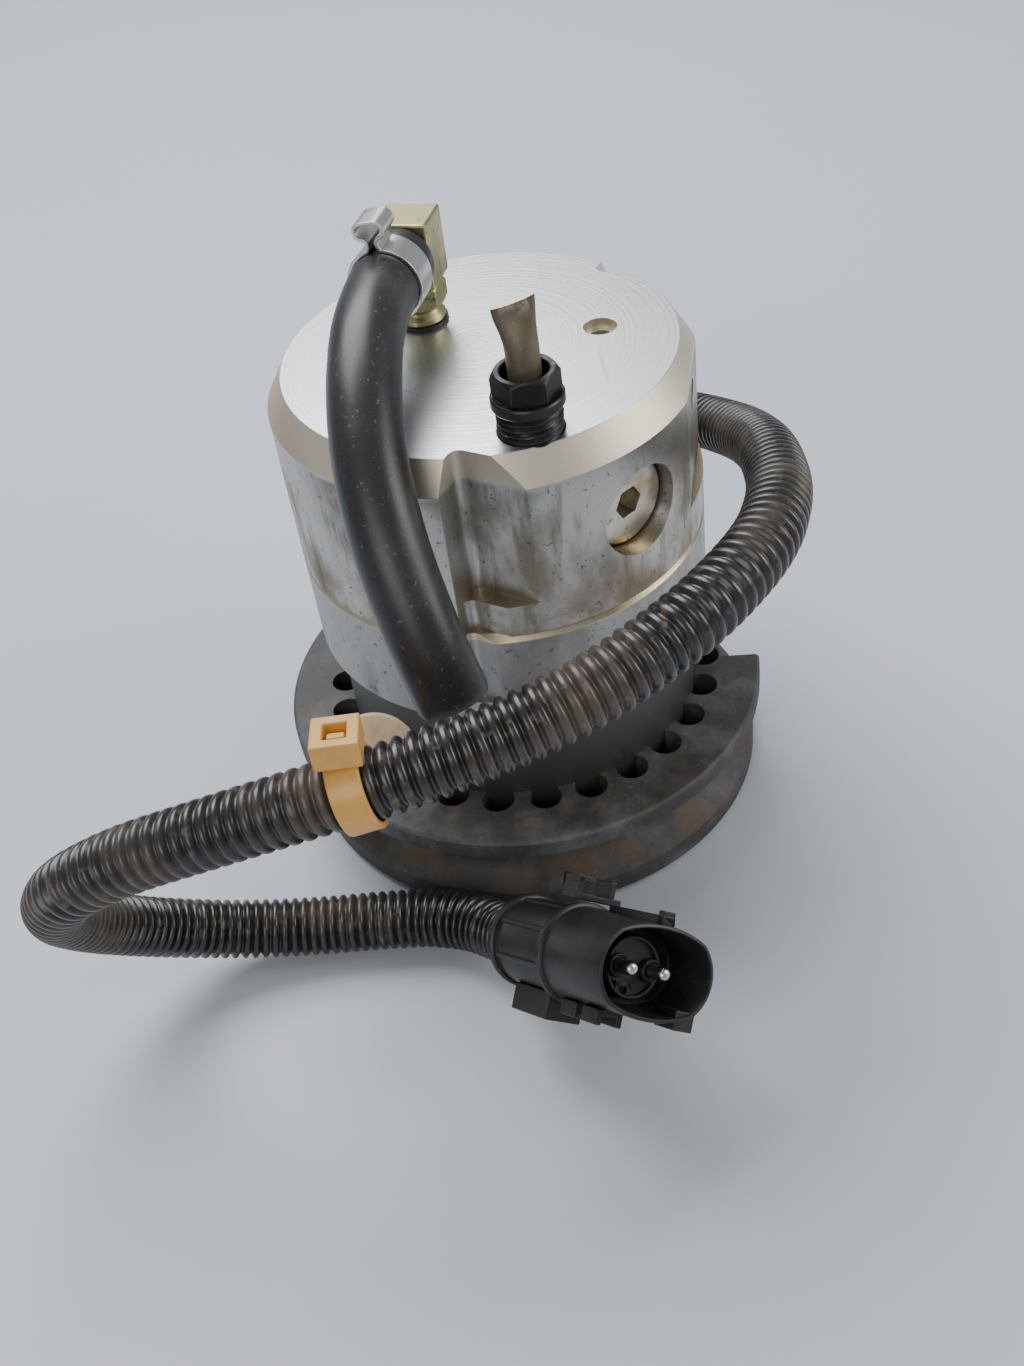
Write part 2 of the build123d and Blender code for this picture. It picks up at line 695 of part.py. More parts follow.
with BuildPart() as tie_foot:
    with BuildSketch(tie_foot_frame):
        Circle(8.2)
    extrude(amount=-1.8)
    with BuildSketch(tie_foot_frame):
        with Locations((-1.0, -3.2)):
            RectangleRounded(9.0, 6.0, 1.0)
    extrude(amount=6.5)
    with BuildSketch(tie_foot_frame.offset(-1.8)):
        Circle(2.3)
    extrude(amount=-11.0)
    for fin in range(4):
        with BuildSketch(tie_foot_frame.offset(-5.0 - 2.2 * fin)):
            Circle(3.7 - 0.3 * fin)
        extrude(amount=-0.8)
    # room for the conduit and for the strap that goes round it
    with BuildSketch(tie_frame.offset(-15)):
        Circle(conduit_r + 0.3)
    extrude(amount=30, mode=Mode.SUBTRACT)
    with BuildSketch(tie_frame.offset(-tie_width / 2 - 0.3)):
        Circle(tie_outer_r + 0.3)
        Circle(tie_inner_r - 0.3, mode=Mode.SUBTRACT)
    extrude(amount=tie_width + 0.6, mode=Mode.SUBTRACT)
save(tie_foot.part, "tie_foot")

# ---- connector -------------------------------------------------------------------
with BuildPart() as connector_backshell:
    with BuildSketch(connector_frame):
        Circle(collar_r)
        Circle(4.6, mode=Mode.SUBTRACT)
    extrude(amount=collar_length)
    with BuildSketch(connector_frame.offset(collar_length)):
        Circle(barrel_r)
        Circle(barrel_r - 1.8, mode=Mode.SUBTRACT)
    extrude(amount=flange_z - 0.2 - collar_length)
    # foot block under the rear
    with BuildSketch(connector_frame.offset(6.0)):
        with Locations((0, -8.0)):
            Rectangle(8.4, 5.9, align=(Align.CENTER, Align.MAX))
        Circle(barrel_r - 1.0, mode=Mode.SUBTRACT)
    extrude(amount=13.6)
save(connector_backshell.part, "connector_backshell")

with BuildPart() as connector_shell:
    with BuildSketch(connector_frame.offset(flange_z)):
        Circle(flange_r)
    extrude(amount=flange_thickness)
    with BuildSketch(connector_frame.offset(flange_z + flange_thickness)):
        Circle(9.5)
    with BuildSketch(connector_frame.offset(mouth_start)):
        with Locations((mouth_shift, 0)):
            SlotCenterToCenter(2 * mouth_half_straight, 2 * mouth_r)
    loft()
    with BuildSketch(connector_frame.offset(mouth_start)):
        with Locations((mouth_shift, 0)):
            SlotCenterToCenter(2 * mouth_half_straight, 2 * mouth_r)
    extrude(amount=connector_length - mouth_start)
    with BuildSketch(connector_frame.offset(connector_length)):
        with Locations((mouth_shift, 0)):
            SlotCenterToCenter(2 * mouth_half_straight, 2 * (mouth_r - mouth_wall))
    extrude(amount=-socket_depth, mode=Mode.SUBTRACT)
    with BuildSketch(connector_frame.offset(flange_z - 0.1)):
        with Locations((insert_x, 0)):
            Circle(insert_r + 0.15)
    extrude(amount=mouth_start - flange_z + 1, mode=Mode.SUBTRACT)
    # rail along the top with an end stop
    with BuildSketch(connector_frame.offset(24.0)):
        with Locations((4.0, 8.6)):
            Rectangle(2.8, 2.1, align=(Align.CENTER, Align.MIN))
    extrude(amount=18.6)
    with BuildSketch(connector_frame.offset(40.8)):
        with Locations((4.0, 8.6)):
            Rectangle(2.8, 3.0, align=(Align.CENTER, Align.MIN))
    extrude(amount=1.8)
    # foot at the lower end of the oval
    with BuildSketch(connector_frame.offset(37.0)):
        with Locations((11.2, -5.6)):
            Rectangle(4.4, 4.2, align=(Align.CENTER, Align.MAX))
        with Locations((mouth_shift, 0)):
            SlotCenterToCenter(2 * mouth_half_straight, 2 * (mouth_r - 0.3), mode=Mode.SUBTRACT)
    extrude(amount=6.5)
    # clips under the oval
    for clip_z in (24.0, 31.5):
        with BuildSketch(connector_frame.offset(clip_z)):
            with Locations((-1.0, -8.3)):
                Rectangle(6.0, 3.4, align=(Align.CENTER, Align.MAX))
            with Locations((-1.0, -10.0)):
                Rectangle(3.1, 1.2, align=(Align.CENTER, Align.MAX), mode=Mode.SUBTRACT)
        extrude(amount=5.4)
save(connector_shell.part, "connector_shell")

with BuildPart() as connector_latch:
    with BuildSketch(connector_frame.offset(16.0)):
        with Locations((1.4, 10.4)):
            Rectangle(10.8, 1.4, align=(Align.CENTER, Align.MIN))
        with Locations((-3.3, 11.6), (4.3, 11.6)):
            Rectangle(1.4, 3.6, align=(Align.CENTER, Align.MIN))
        with Locations((-2.4, 13.9)):
            Rectangle(3.2, 1.3, align=(Align.CENTER, Align.MIN))
    extrude(amount=5.8)
save(connector_latch.part, "connector_latch")

with BuildPart() as connector_insert:
    with BuildSketch(connector_frame.offset(flange_z)):
        with Locations((insert_x, 0)):
            Circle(insert_r)
    extrude(amount=insert_top - flange_z)
    with BuildSketch(connector_frame.offset(insert_top)):
        with Locations((insert_x - pin_spacing / 2, 0), (insert_x + pin_spacing / 2, 0)):
            Circle(2.3)
            Circle(1.8, mode=Mode.SUBTRACT)
    extrude(amount=0.8)
    # keyway in the lower half
    with BuildSketch(connector_frame.offset(insert_top)):
        with Locations((insert_x - 1.6, -3.4)):
            Rectangle(3.0, 0.9)
            Rectangle(0.9, 3.2, align=(Align.MIN, Align.CENTER))
    extrude(amount=-2.4, mode=Mode.SUBTRACT)
    with BuildSketch(connector_frame.offset(insert_top + 0.1)):
        with Locations((insert_x - pin_spacing / 2, 0), (insert_x + pin_spacing / 2, 0)):
            Circle(pin_r)
    extrude(amount=-(insert_top + 0.1 - flange_z - 1.0), mode=Mode.SUBTRACT)
save(connector_insert.part, "connector_insert")

with BuildPart() as connector_pins:
    with BuildSketch(connector_frame.offset(flange_z + 1.1)):
        with Locations((insert_x - pin_spacing / 2, 0), (insert_x + pin_spacing / 2, 0)):
            Circle(pin_r)
    extrude(amount=connector_length - 0.9 - flange_z - 1.1)
    fillet(connector_pins.faces().sort_by(Axis(connector_origin, connector_axis))[-2:].edges(), 0.7)
save(connector_pins.part, "connector_pins")

# ---- motor: shaft, armature, commutator, magnets ---------------------------------
with BuildPart() as motor_shaft:
    with Locations((0, 0, 3.2)):
        Cylinder(shaft_r, pocket_top - 0.6 - 3.2, align=(Align.CENTER, Align.CENTER, Align.MIN))
    chamfer(motor_shaft.edges().filter_by(GeomType.CIRCLE), 0.4)
save(motor_shaft.part, "motor_shaft")

slot_width = 5.2
slot_mouth = 1.8
slot_inner_r = 13.5
slot_outer_r = 27.6
with BuildPart() as armature_core:
    with BuildSketch(Plane.XY.offset(core_bottom)):
        Circle(core_r)
        Circle(shaft_r, mode=Mode.SUBTRACT)
        with PolarLocations(0, slot_count):
            with Locations((slot_inner_r, 0)):
                Rectangle(
                    slot_outer_r - slot_inner_r,
                    slot_width,
                    align=(Align.MIN, Align.CENTER),
                    mode=Mode.SUBTRACT,
                )
            with Locations((slot_outer_r - 0.1, 0)):
                Rectangle(5.0, slot_mouth, align=(Align.MIN, Align.CENTER), mode=Mode.SUBTRACT)
    extrude(amount=core_top - core_bottom)
save(armature_core.part, "armature_core")

with BuildPart() as armature_windings:
    with BuildSketch(Plane.XY.offset(core_bottom - 5.0)):
        with PolarLocations(0, slot_count):
            with Locations((slot_inner_r + 0.3, 0)):
                Rectangle(
                    slot_outer_r - slot_inner_r - 0.6,
                    slot_width - 0.5,
                    align=(Align.MIN, Align.CENTER),
                )
    extrude(amount=core_top - core_bottom + 8.5)
    for ring_z, ring_height in ((core_bottom - 5.0, 4.7), (core_top + 0.3, 4.7)):
        with BuildSketch(Plane.XY.offset(ring_z)):
            Circle(slot_outer_r - 0.4)
            Circle(slot_inner_r - 3.0, mode=Mode.SUBTRACT)
        extrude(amount=ring_height)
save(armature_windings.part, "armature_windings")

with BuildPart() as commutator:
    with BuildSketch(Plane.XY.offset(commutator_bottom)):
        Circle(commutator_r)
        Circle(shaft_r, mode=Mode.SUBTRACT)
        with PolarLocations(commutator_r - 0.5, 24):
            Rectangle(1.2, 0.4, mode=Mode.SUBTRACT)
    extrude(amount=commutator_top - commutator_bottom)
save(commutator.part, "commutator")

with BuildPart() as magnets:
    with BuildSketch(Plane.XY.offset(8.0)):
        Circle(can_r - can_wall - assembly_gap)
        Circle(core_r + 0.9, mode=Mode.SUBTRACT)
        Rectangle(100, 26, mode=Mode.SUBTRACT)
    extrude(amount=30.0)
save(magnets.part, "magnets")

with BuildPart() as rear_bush:
    with Locations((0, 0, can_floor + 0.1)):
        Cylinder(7.0, 7.0, align=(Align.CENTER, Align.CENTER, Align.MIN))
        Cylinder(
            shaft_r + running_fit,
            7.0,
            align=(Align.CENTER, Align.CENTER, Align.MIN),
            mode=Mode.SUBTRACT,
        )
save(rear_bush.part, "rear_bush")

# ---- ball bearing under the shaft seal -------------------------------------------
bearing_bottom = joint_z - 12.1
bearing_width = 6.0
bearing_middle = bearing_bottom + bearing_width / 2
bearing_ball_r = 1.7
race_r = 7.5
with BuildPart() as bearing_outer_race:
    with BuildSketch(Plane.XY.offset(bearing_bottom)):
        Circle(11.0)
        Circle(8.9, mode=Mode.SUBTRACT)
    extrude(amount=bearing_width)
    with Locations((0, 0, bearing_middle)):
        Torus(race_r, bearing_ball_r + running_fit, mode=Mode.SUBTRACT)
save(bearing_outer_race.part, "bearing_outer_race")

with BuildPart() as bearing_inner_race:
    with BuildSketch(Plane.XY.offset(bearing_bottom)):
        Circle(6.2)
        Circle(shaft_r, mode=Mode.SUBTRACT)
    extrude(amount=bearing_width)
    with Locations((0, 0, bearing_middle)):
        Torus(race_r, bearing_ball_r + running_fit, mode=Mode.SUBTRACT)
save(bearing_inner_race.part, "bearing_inner_race")

with BuildPart() as bearing_balls:
    with PolarLocations(race_r, 9):
        with Locations((0, 0, bearing_middle)):
            Sphere(bearing_ball_r)
save(bearing_balls.part, "bearing_balls")

with BuildPart() as shaft_seal:
    with BuildSketch(Plane.XY.offset(joint_z - 4.1)):
        Circle(8.0)
        Circle(shaft_r + running_fit, mode=Mode.SUBTRACT)
    extrude(amount=3.8)
save(shaft_seal.part, "shaft_seal")

# ---- gears and their bearing blocks ----------------------------------------------
base_r = gear_pitch_r * math.cos(math.radians(gear_pressure_angle))


def flank_angle(radius):
    """Half the angle of a tooth at a radius, for an involute flank."""
    def involute(angle):
        return math.tan(angle) - angle
    at_pitch = math.pi / (2 * gear_teeth) - math.radians(gear_backlash_angle)
    slope = math.acos(min(1.0, base_r / radius))
    return at_pitch + involute(math.radians(gear_pressure_angle)) - involute(slope)


def flank_points(side):
    """Points up one flank, from just inside the root circle to the tip."""
    start_angle = flank_angle(base_r)
    points = [(gear_root_r - 0.3) * Vector(math.cos(start_angle), side * math.sin(start_angle))]
    for step in range(6):
        radius = base_r + (gear_tip_r - base_r) * step / 5
        angle = flank_angle(radius)
        points.append(Vector(radius * math.cos(angle), side * radius * math.sin(angle)))
    return points


upper_flank = flank_points(1)
lower_flank = flank_points(-1)
gear_places = (("drive_gear", 0.0, 0.0), ("driven_gear", -gear_centres, 180.0 / gear_teeth))
for gear_name, gear_x, tooth_phase in gear_places:
    with BuildPart() as gear:
        with BuildSketch(Plane((gear_x, 0, gear_bottom + 0.05))):
            Circle(gear_root_r)
            with BuildLine():
                Line(upper_flank[0], upper_flank[1])
                Spline(*upper_flank[1:])
                Line(upper_flank[-1], lower_flank[-1])
                Spline(*reversed(lower_flank[1:]))
                Line(lower_flank[1], lower_flank[0])
                Line(lower_flank[0], upper_flank[0])
            tooth = make_face(mode=Mode.PRIVATE)
            with PolarLocations(0, gear_teeth, start_angle=tooth_phase):
                add(tooth)
            Circle(shaft_r, mode=Mode.SUBTRACT)
        extrude(amount=gear_top - gear_bottom - 0.1)
    save(gear.part, gear_name)

with BuildPart() as idler_shaft:
    with Locations((-gear_centres, 0, joint_z + 0.6)):
        Cylinder(shaft_r, pocket_top - 0.6 - joint_z - 0.6, align=(Align.CENTER, Align.CENTER, Align.MIN))
    chamfer(idler_shaft.edges().filter_by(GeomType.CIRCLE), 0.4)
save(idler_shaft.part, "idler_shaft")

for block_name, block_bottom, block_top in (
    ("lower_bearing_block", joint_z + 0.1, gear_bottom),
    ("upper_bearing_block", gear_top, pocket_top - 0.1),
):
    with BuildPart() as bearing_block:
        with BuildSketch(Plane.XY.offset(block_bottom)):
            with Locations((0, 0), (-gear_centres, 0)):
                Circle(pocket_r - 0.04)
            with Locations((0, 0), (-gear_centres, 0)):
                Circle(shaft_r + running_fit, mode=Mode.SUBTRACT)
        extrude(amount=block_top - block_bottom)
    save(bearing_block.part, block_name)

# ---- brush gear ------------------------------------------------------------------
brush_inner = commutator_r + 0.1
holder_end = brush_inner + brush_length + 7.4
with BuildPart() as brush_plate:
    with BuildSketch(Plane.XY.offset(commutator_top + 1.4)):
        Circle(can_r - can_wall - assembly_gap)
        Circle(15.0, mode=Mode.SUBTRACT)
    extrude(amount=2.4)
save(brush_plate.part, "brush_plate")

holder_inner = brush_width + 0.3
with BuildPart() as brush_holders:
    for side in (1, -1):
        holder_face = Plane(origin=(side * (brush_inner + 2.5), 0, brush_z), x_dir=(0, 1, 0), z_dir=(side, 0, 0))
        with BuildSketch(holder_face):
            Rectangle(holder_inner + 1.4, holder_inner + 1.4)
            Rectangle(holder_inner, holder_inner, mode=Mode.SUBTRACT)
        extrude(amount=holder_end - brush_inner - 2.5)
        with BuildSketch(Plane(origin=(side * holder_end, 0, brush_z), x_dir=(0, 1, 0), z_dir=(side, 0, 0))):
            Rectangle(holder_inner + 1.4, holder_inner + 1.4)
        extrude(amount=0.8)
        with Locations((side * (brush_inner + 11.0), 0, brush_z + holder_inner / 2 + 0.7)):
            tab_height = commutator_top + 1.4 - brush_z - holder_inner / 2 - 0.7
            Box(6.0, 4.0, tab_height, align=(Align.CENTER, Align.CENTER, Align.MIN))
save(brush_holders.part, "brush_holders")

for brush_name, side in (("brush_right", 1), ("brush_left", -1)):
    with BuildPart() as brush:
        with BuildSketch(Plane(origin=(side * brush_inner, 0, brush_z), x_dir=(0, 1, 0), z_dir=(side, 0, 0))):
            Rectangle(brush_width, brush_width)
        extrude(amount=brush_length)
        with BuildSketch(Plane.XY.offset(brush_z - 5)):
            Circle(brush_inner + 0.02)
        extrude(amount=10, mode=Mode.SUBTRACT)
    save(brush.part, brush_name)

for spring_name, side in (("brush_spring_right", 1), ("brush_spring_left", -1)):
    with BuildPart() as brush_spring:
        with BuildLine() as coil:
            Helix(
                pitch=1.3,
                height=6.2,
                radius=1.9,
                center=(side * (brush_inner + brush_length + 0.5), 0, brush_z),
                direction=(side, 0, 0),
            )
        with BuildSketch(Plane(origin=coil.line @ 0, z_dir=coil.line % 0)):
            Circle(0.3)
        sweep(is_frenet=True)
    save(brush_spring.part, spring_name)

# ---- wires from the brush plate through the gland --------------------------------
with BuildPart() as motor_leads:
    for offset in (-1.6, 1.6):
        lead_x = offset - 8.5
        with BuildLine() as lead_path:
            FilletPolyline(
                (lead_x, 26.0, commutator_top + 3.9),
                (lead_x, 26.0, gland_z),
                (lead_x, gland_y + offset, gland_z),
                (gland_end - 1.0, gland_y + offset, gland_z),
                radius=[4.0, 2.6],
            )
        with BuildSketch(Plane.XY.offset(commutator_top + 3.9)):
            with Locations((lead_x, 26.0)):
                Circle(1.2)
        sweep(path=lead_path.line)
save(motor_leads.part, "motor_leads")

# ---- screws between housing and head, driven from the motor side -----------------
screw_head_face = joint_z - 7.6
with BuildPart() as joint_screws:
    with BuildSketch(Plane.XY.offset(screw_head_face)):
        with PolarLocations(screw_circle_r, 3, start_angle=screw_first_angle):
            Circle(4.2)
            RegularPolygon(2.0, 6, major_radius=False, mode=Mode.SUBTRACT)
    extrude(amount=-2.6)
    with BuildSketch(Plane.XY.offset(screw_head_face - 0.6)):
        with PolarLocations(screw_circle_r, 3, start_angle=screw_first_angle):
            Circle(screw_r)
    extrude(amount=17.5)
save(joint_screws.part, "joint_screws")
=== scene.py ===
import math

import bmesh
import bpy
from mathutils import Matrix, Vector
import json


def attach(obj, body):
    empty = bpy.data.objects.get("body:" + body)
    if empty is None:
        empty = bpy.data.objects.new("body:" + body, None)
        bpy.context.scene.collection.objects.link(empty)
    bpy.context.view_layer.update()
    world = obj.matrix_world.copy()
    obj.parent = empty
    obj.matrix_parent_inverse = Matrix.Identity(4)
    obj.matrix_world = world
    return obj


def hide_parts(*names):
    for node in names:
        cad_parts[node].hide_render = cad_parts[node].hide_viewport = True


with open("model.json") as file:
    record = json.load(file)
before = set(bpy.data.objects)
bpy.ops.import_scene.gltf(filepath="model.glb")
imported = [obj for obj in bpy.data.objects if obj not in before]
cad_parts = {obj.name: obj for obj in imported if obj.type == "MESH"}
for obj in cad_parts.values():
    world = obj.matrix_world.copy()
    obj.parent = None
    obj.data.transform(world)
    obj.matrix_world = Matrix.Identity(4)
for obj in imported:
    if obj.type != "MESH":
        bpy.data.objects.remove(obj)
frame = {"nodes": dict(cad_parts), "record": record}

# Lengths in this script are millimetres until they reach Blender.
MM = 0.001

# ---- sizes shared with the CAD source ----
NUT = Vector((7.7, -33.7, 0.0))
PIPE_R = 3.2
ELBOW = Vector((-10.8, 14.2, 0.0))
BARB_Z = 130.2
BARB = Vector((math.cos(math.radians(-109.4)), math.sin(math.radians(-109.4)), 0.0))
HOSE_START = ELBOW + Vector((0, 0, BARB_Z)) + BARB * 5.6
HOSE_R = 7.0
CONDUIT_R = 6.5
CONNECTOR = Vector((-7.2, -75.05, 15.3))
CONNECTOR_LENGTH = 44.0
FLANGE_Z = 20.5
FLANGE_R = 10.3
BARREL_R = 9.1
MOUTH_START = 31.0
MOUTH_STRAIGHT = 4.0
MOUTH_R = 9.1
MOUTH_SHIFT = 2.9
INSERT_X = 1.8
INSERT_R = 6.2
PIN_R = 1.4
PIN_SPACING = 7.5
TIE_POINT = Vector((-31.0, -92.5, 84.9))
TIE_ALONG = Vector((-18.0, 0.0, -3.8)).normalized()
FOOT = Vector((-28.6, -81.2, 80.6))
FOOT_NORMAL = Vector((0.08, -0.60, 0.795)).normalized()


# ---- frames and meshes ----
def frame_at(origin, z_axis, x_axis):
    """A placement in millimetres with its z and x axes as given."""
    z = Vector(z_axis).normalized()
    x = Vector(x_axis)
    x = (x - z * x.dot(z)).normalized()
    placed = Matrix((x, z.cross(x), z)).transposed().to_4x4()
    placed.translation = Vector(origin)
    return placed


def skin(rings, closed=False, caps=True):
    """Vertices and faces of a surface through rings of points."""
    count = len(rings[0])
    verts = [point for ring in rings for point in ring]
    faces = []
    pairs = len(rings) if closed else len(rings) - 1
    for i in range(pairs):
        a, b = i * count, ((i + 1) % len(rings)) * count
        for j in range(count):
            k = (j + 1) % count
            faces.append((a + j, a + k, b + k, b + j))
    if caps and not closed:
        faces.append(tuple(range(count)))
        faces.append(tuple(range(len(verts) - count, len(verts))))
    return verts, faces


def turned(place, profile, segments=96, closed=False, phase=0.0):
    """A body turned about the placement's z axis. A profile entry is (z, radius),
    and the radius may be a function of the angle."""
    rings = []
    for z, radius in profile:
        ring = []
        for j in range(segments):
            angle = phase + 2 * math.pi * j / segments
            r = radius(angle) if callable(radius) else radius
            ring.append(place @ Vector((r * math.cos(angle), r * math.sin(angle), z)))
        rings.append(ring)
    return skin(rings, closed)


def prism(place, outline, depth):
    """An outline in the placement's xy plane, pushed out along its z axis."""
    rings = [[place @ Vector((x, y, z)) for x, y in outline] for z in (0.0, depth)]
    return skin(rings)


def block(place, x, y, z, sx, sy, sz):
    """A box centred in x and y on (x, y) and standing on z."""
    outline = [
        (x - sx / 2, y - sy / 2),
        (x + sx / 2, y - sy / 2),
        (x + sx / 2, y + sy / 2),
        (x - sx / 2, y + sy / 2),
    ]
    return prism(place @ Matrix.Translation((0, 0, z)), outline, sz)


def together(*parts):
    """Several surfaces as one."""
    verts, faces = [], []
    for part_verts, part_faces in parts:
        faces += [tuple(i + len(verts) for i in face) for face in part_faces]
        verts += part_verts
    return verts, faces


def piece(name, shape, material, body="pump", replaces=(), bevel=0.0, sharp=32.0):
    """A mesh object that rides on a body and takes the material it is given."""
    verts, faces = shape
    mesh = bpy.data.meshes.new(name)
    mesh.from_pydata([v * MM for v in verts], [], faces)
    work = bmesh.new()
    work.from_mesh(mesh)
    bmesh.ops.remove_doubles(work, verts=work.verts, dist=2e-6)
    bmesh.ops.recalc_face_normals(work, faces=work.faces)
    work.to_mesh(mesh)
    work.free()
    for polygon in mesh.polygons:
        polygon.use_smooth = True
    mesh.set_sharp_from_angle(angle=math.radians(sharp))
    mesh.materials.append(material)
    made = bpy.data.objects.new(name, mesh)
    bpy.context.scene.collection.objects.link(made)
    if bevel:
        rounding = made.modifiers.new("rounding", "BEVEL")
        rounding.width = bevel * MM
        rounding.segments = 2
        rounding.limit_method = "ANGLE"
        rounding.angle_limit = math.radians(40)
        rounding.harden_normals = True
    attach(made, body)
    if replaces:
        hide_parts(*replaces)
    return made


# ---- materials ----
class Finish:
    """A procedural material built step by step in the object's own coordinates."""

    def __init__(self, name, colour, metallic, roughness):
        self.material = bpy.data.materials.new(name)
        self.material.use_nodes = True
        self.tree = self.material.node_tree
        self.shader = self.tree.nodes["Principled BSDF"]
        self.shader.inputs["Metallic"].default_value = metallic
        self.place = self.node("ShaderNodeTexCoord").outputs["Object"]
        self.colour = colour
        self.roughness = roughness
        self.height = None

    def node(self, kind, **settings):
        made = self.tree.nodes.new(kind)
        for key, value in settings.items():
            setattr(made, key, value)
        return made

    def feed(self, socket, value):
        if isinstance(value, bpy.types.NodeSocket):
            self.tree.links.new(value, socket)
        elif isinstance(value, tuple) and len(value) == 3 and socket.type == "RGBA":
            socket.default_value = (*value, 1.0)
        else:
            socket.default_value = value

    def maths(self, operation, a, b=0.0):
        made = self.node("ShaderNodeMath", operation=operation)
        self.feed(made.inputs[0], a)
        self.feed(made.inputs[1], b)
        return made.outputs[0]

    def axes(self):
        made = self.node("ShaderNodeSeparateXYZ")
        self.feed(made.inputs[0], self.place)
        return made.outputs

    def radius(self):
        x, y, _ = self.axes()
        return self.maths(
            "SQRT", self.maths("ADD", self.maths("MULTIPLY", x, x), self.maths("MULTIPLY", y, y))
        )

    def noise(self, scale, detail=5.0, rough=0.6, stretch=(1, 1, 1), distortion=0.0):
        mapping = self.node("ShaderNodeMapping")
        self.feed(mapping.inputs["Vector"], self.place)
        mapping.inputs["Scale"].default_value = stretch
        made = self.node("ShaderNodeTexNoise")
        self.feed(made.inputs["Vector"], mapping.outputs[0])
        made.inputs["Scale"].default_value = scale
        made.inputs["Detail"].default_value = detail
        made.inputs["Roughness"].default_value = rough
        made.inputs["Distortion"].default_value = distortion
        return made.outputs["Fac"]

    def ramp(self, value, start, end, low=0.0, high=1.0):
        made = self.node("ShaderNodeMapRange", interpolation_type="SMOOTHSTEP")
        self.feed(made.inputs["Value"], value)
        made.inputs["From Min"].default_value = start
        made.inputs["From Max"].default_value = end
        made.inputs["To Min"].default_value = low
        made.inputs["To Max"].default_value = high
        return made.outputs["Result"]

    def facing_up(self, start=0.3, end=0.9):
        normal = self.node("ShaderNodeNewGeometry").outputs["Normal"]
        made = self.node("ShaderNodeSeparateXYZ")
        self.feed(made.inputs[0], normal)
        return self.ramp(made.outputs[2], start, end)

    def worn_edges(self, start=0.51, end=0.56):
        return self.ramp(self.node("ShaderNodeNewGeometry").outputs["Pointiness"], start, end)

    def blend(self, amount, colour, roughness=None):
        """Lay another colour, and roughness, over what is there."""
        made = self.node("ShaderNodeMix", data_type="RGBA")
        self.feed(made.inputs["Factor"], amount)
        self.feed(made.inputs[6], self.colour)
        self.feed(made.inputs[7], colour)
        self.colour = made.outputs[2]
        if roughness is not None:
            made = self.node("ShaderNodeMix", data_type="FLOAT")
            self.feed(made.inputs["Factor"], amount)
            self.feed(made.inputs[2], self.roughness)
            self.feed(made.inputs[3], roughness)
            self.roughness = made.outputs[0]
        return self

    def raise_by(self, value, depth):
        """Add to the surface's relief, the depth in millimetres."""
        scaled = self.maths("MULTIPLY", value, depth * MM)
        self.height = scaled if self.height is None else self.maths("ADD", self.height, scaled)
        return self

    def done(self, edge=0.0, **inputs):
        self.feed(self.shader.inputs["Base Color"], self.colour)
        self.feed(self.shader.inputs["Roughness"], self.roughness)
        for name, value in inputs.items():
            self.feed(self.shader.inputs[name.replace("_", " ")], value)
        normal = None
        if edge:
            rounding = self.node("ShaderNodeBevel", samples=4)
            rounding.inputs["Radius"].default_value = edge * MM
            normal = rounding.outputs[0]
        if self.height is not None:
            bump = self.node("ShaderNodeBump")
            bump.inputs["Strength"].default_value = 1.0
            bump.inputs["Distance"].default_value = 1.0
            self.feed(bump.inputs["Height"], self.height)
            if normal is not None:
                self.feed(bump.inputs["Normal"], normal)
            normal = bump.outputs[0]
        if normal is not None:
            self.feed(self.shader.inputs["Normal"], normal)
        return self.material


def plain(name, colour, metallic, roughness, grain=0.02, scale=900.0, edge=0.15, **inputs):
    """A finish with fine grain and slightly uneven gloss."""
    made = Finish(name, colour, metallic, roughness)
    made.blend(
        made.ramp(made.noise(scale / 6), 0.35, 0.75, 0.0, 0.5),
        tuple(c * 0.7 for c in colour),
        min(1.0, roughness + 0.15),
    )
    made.raise_by(made.noise(scale), grain)
    return made.done(edge=edge, **inputs)


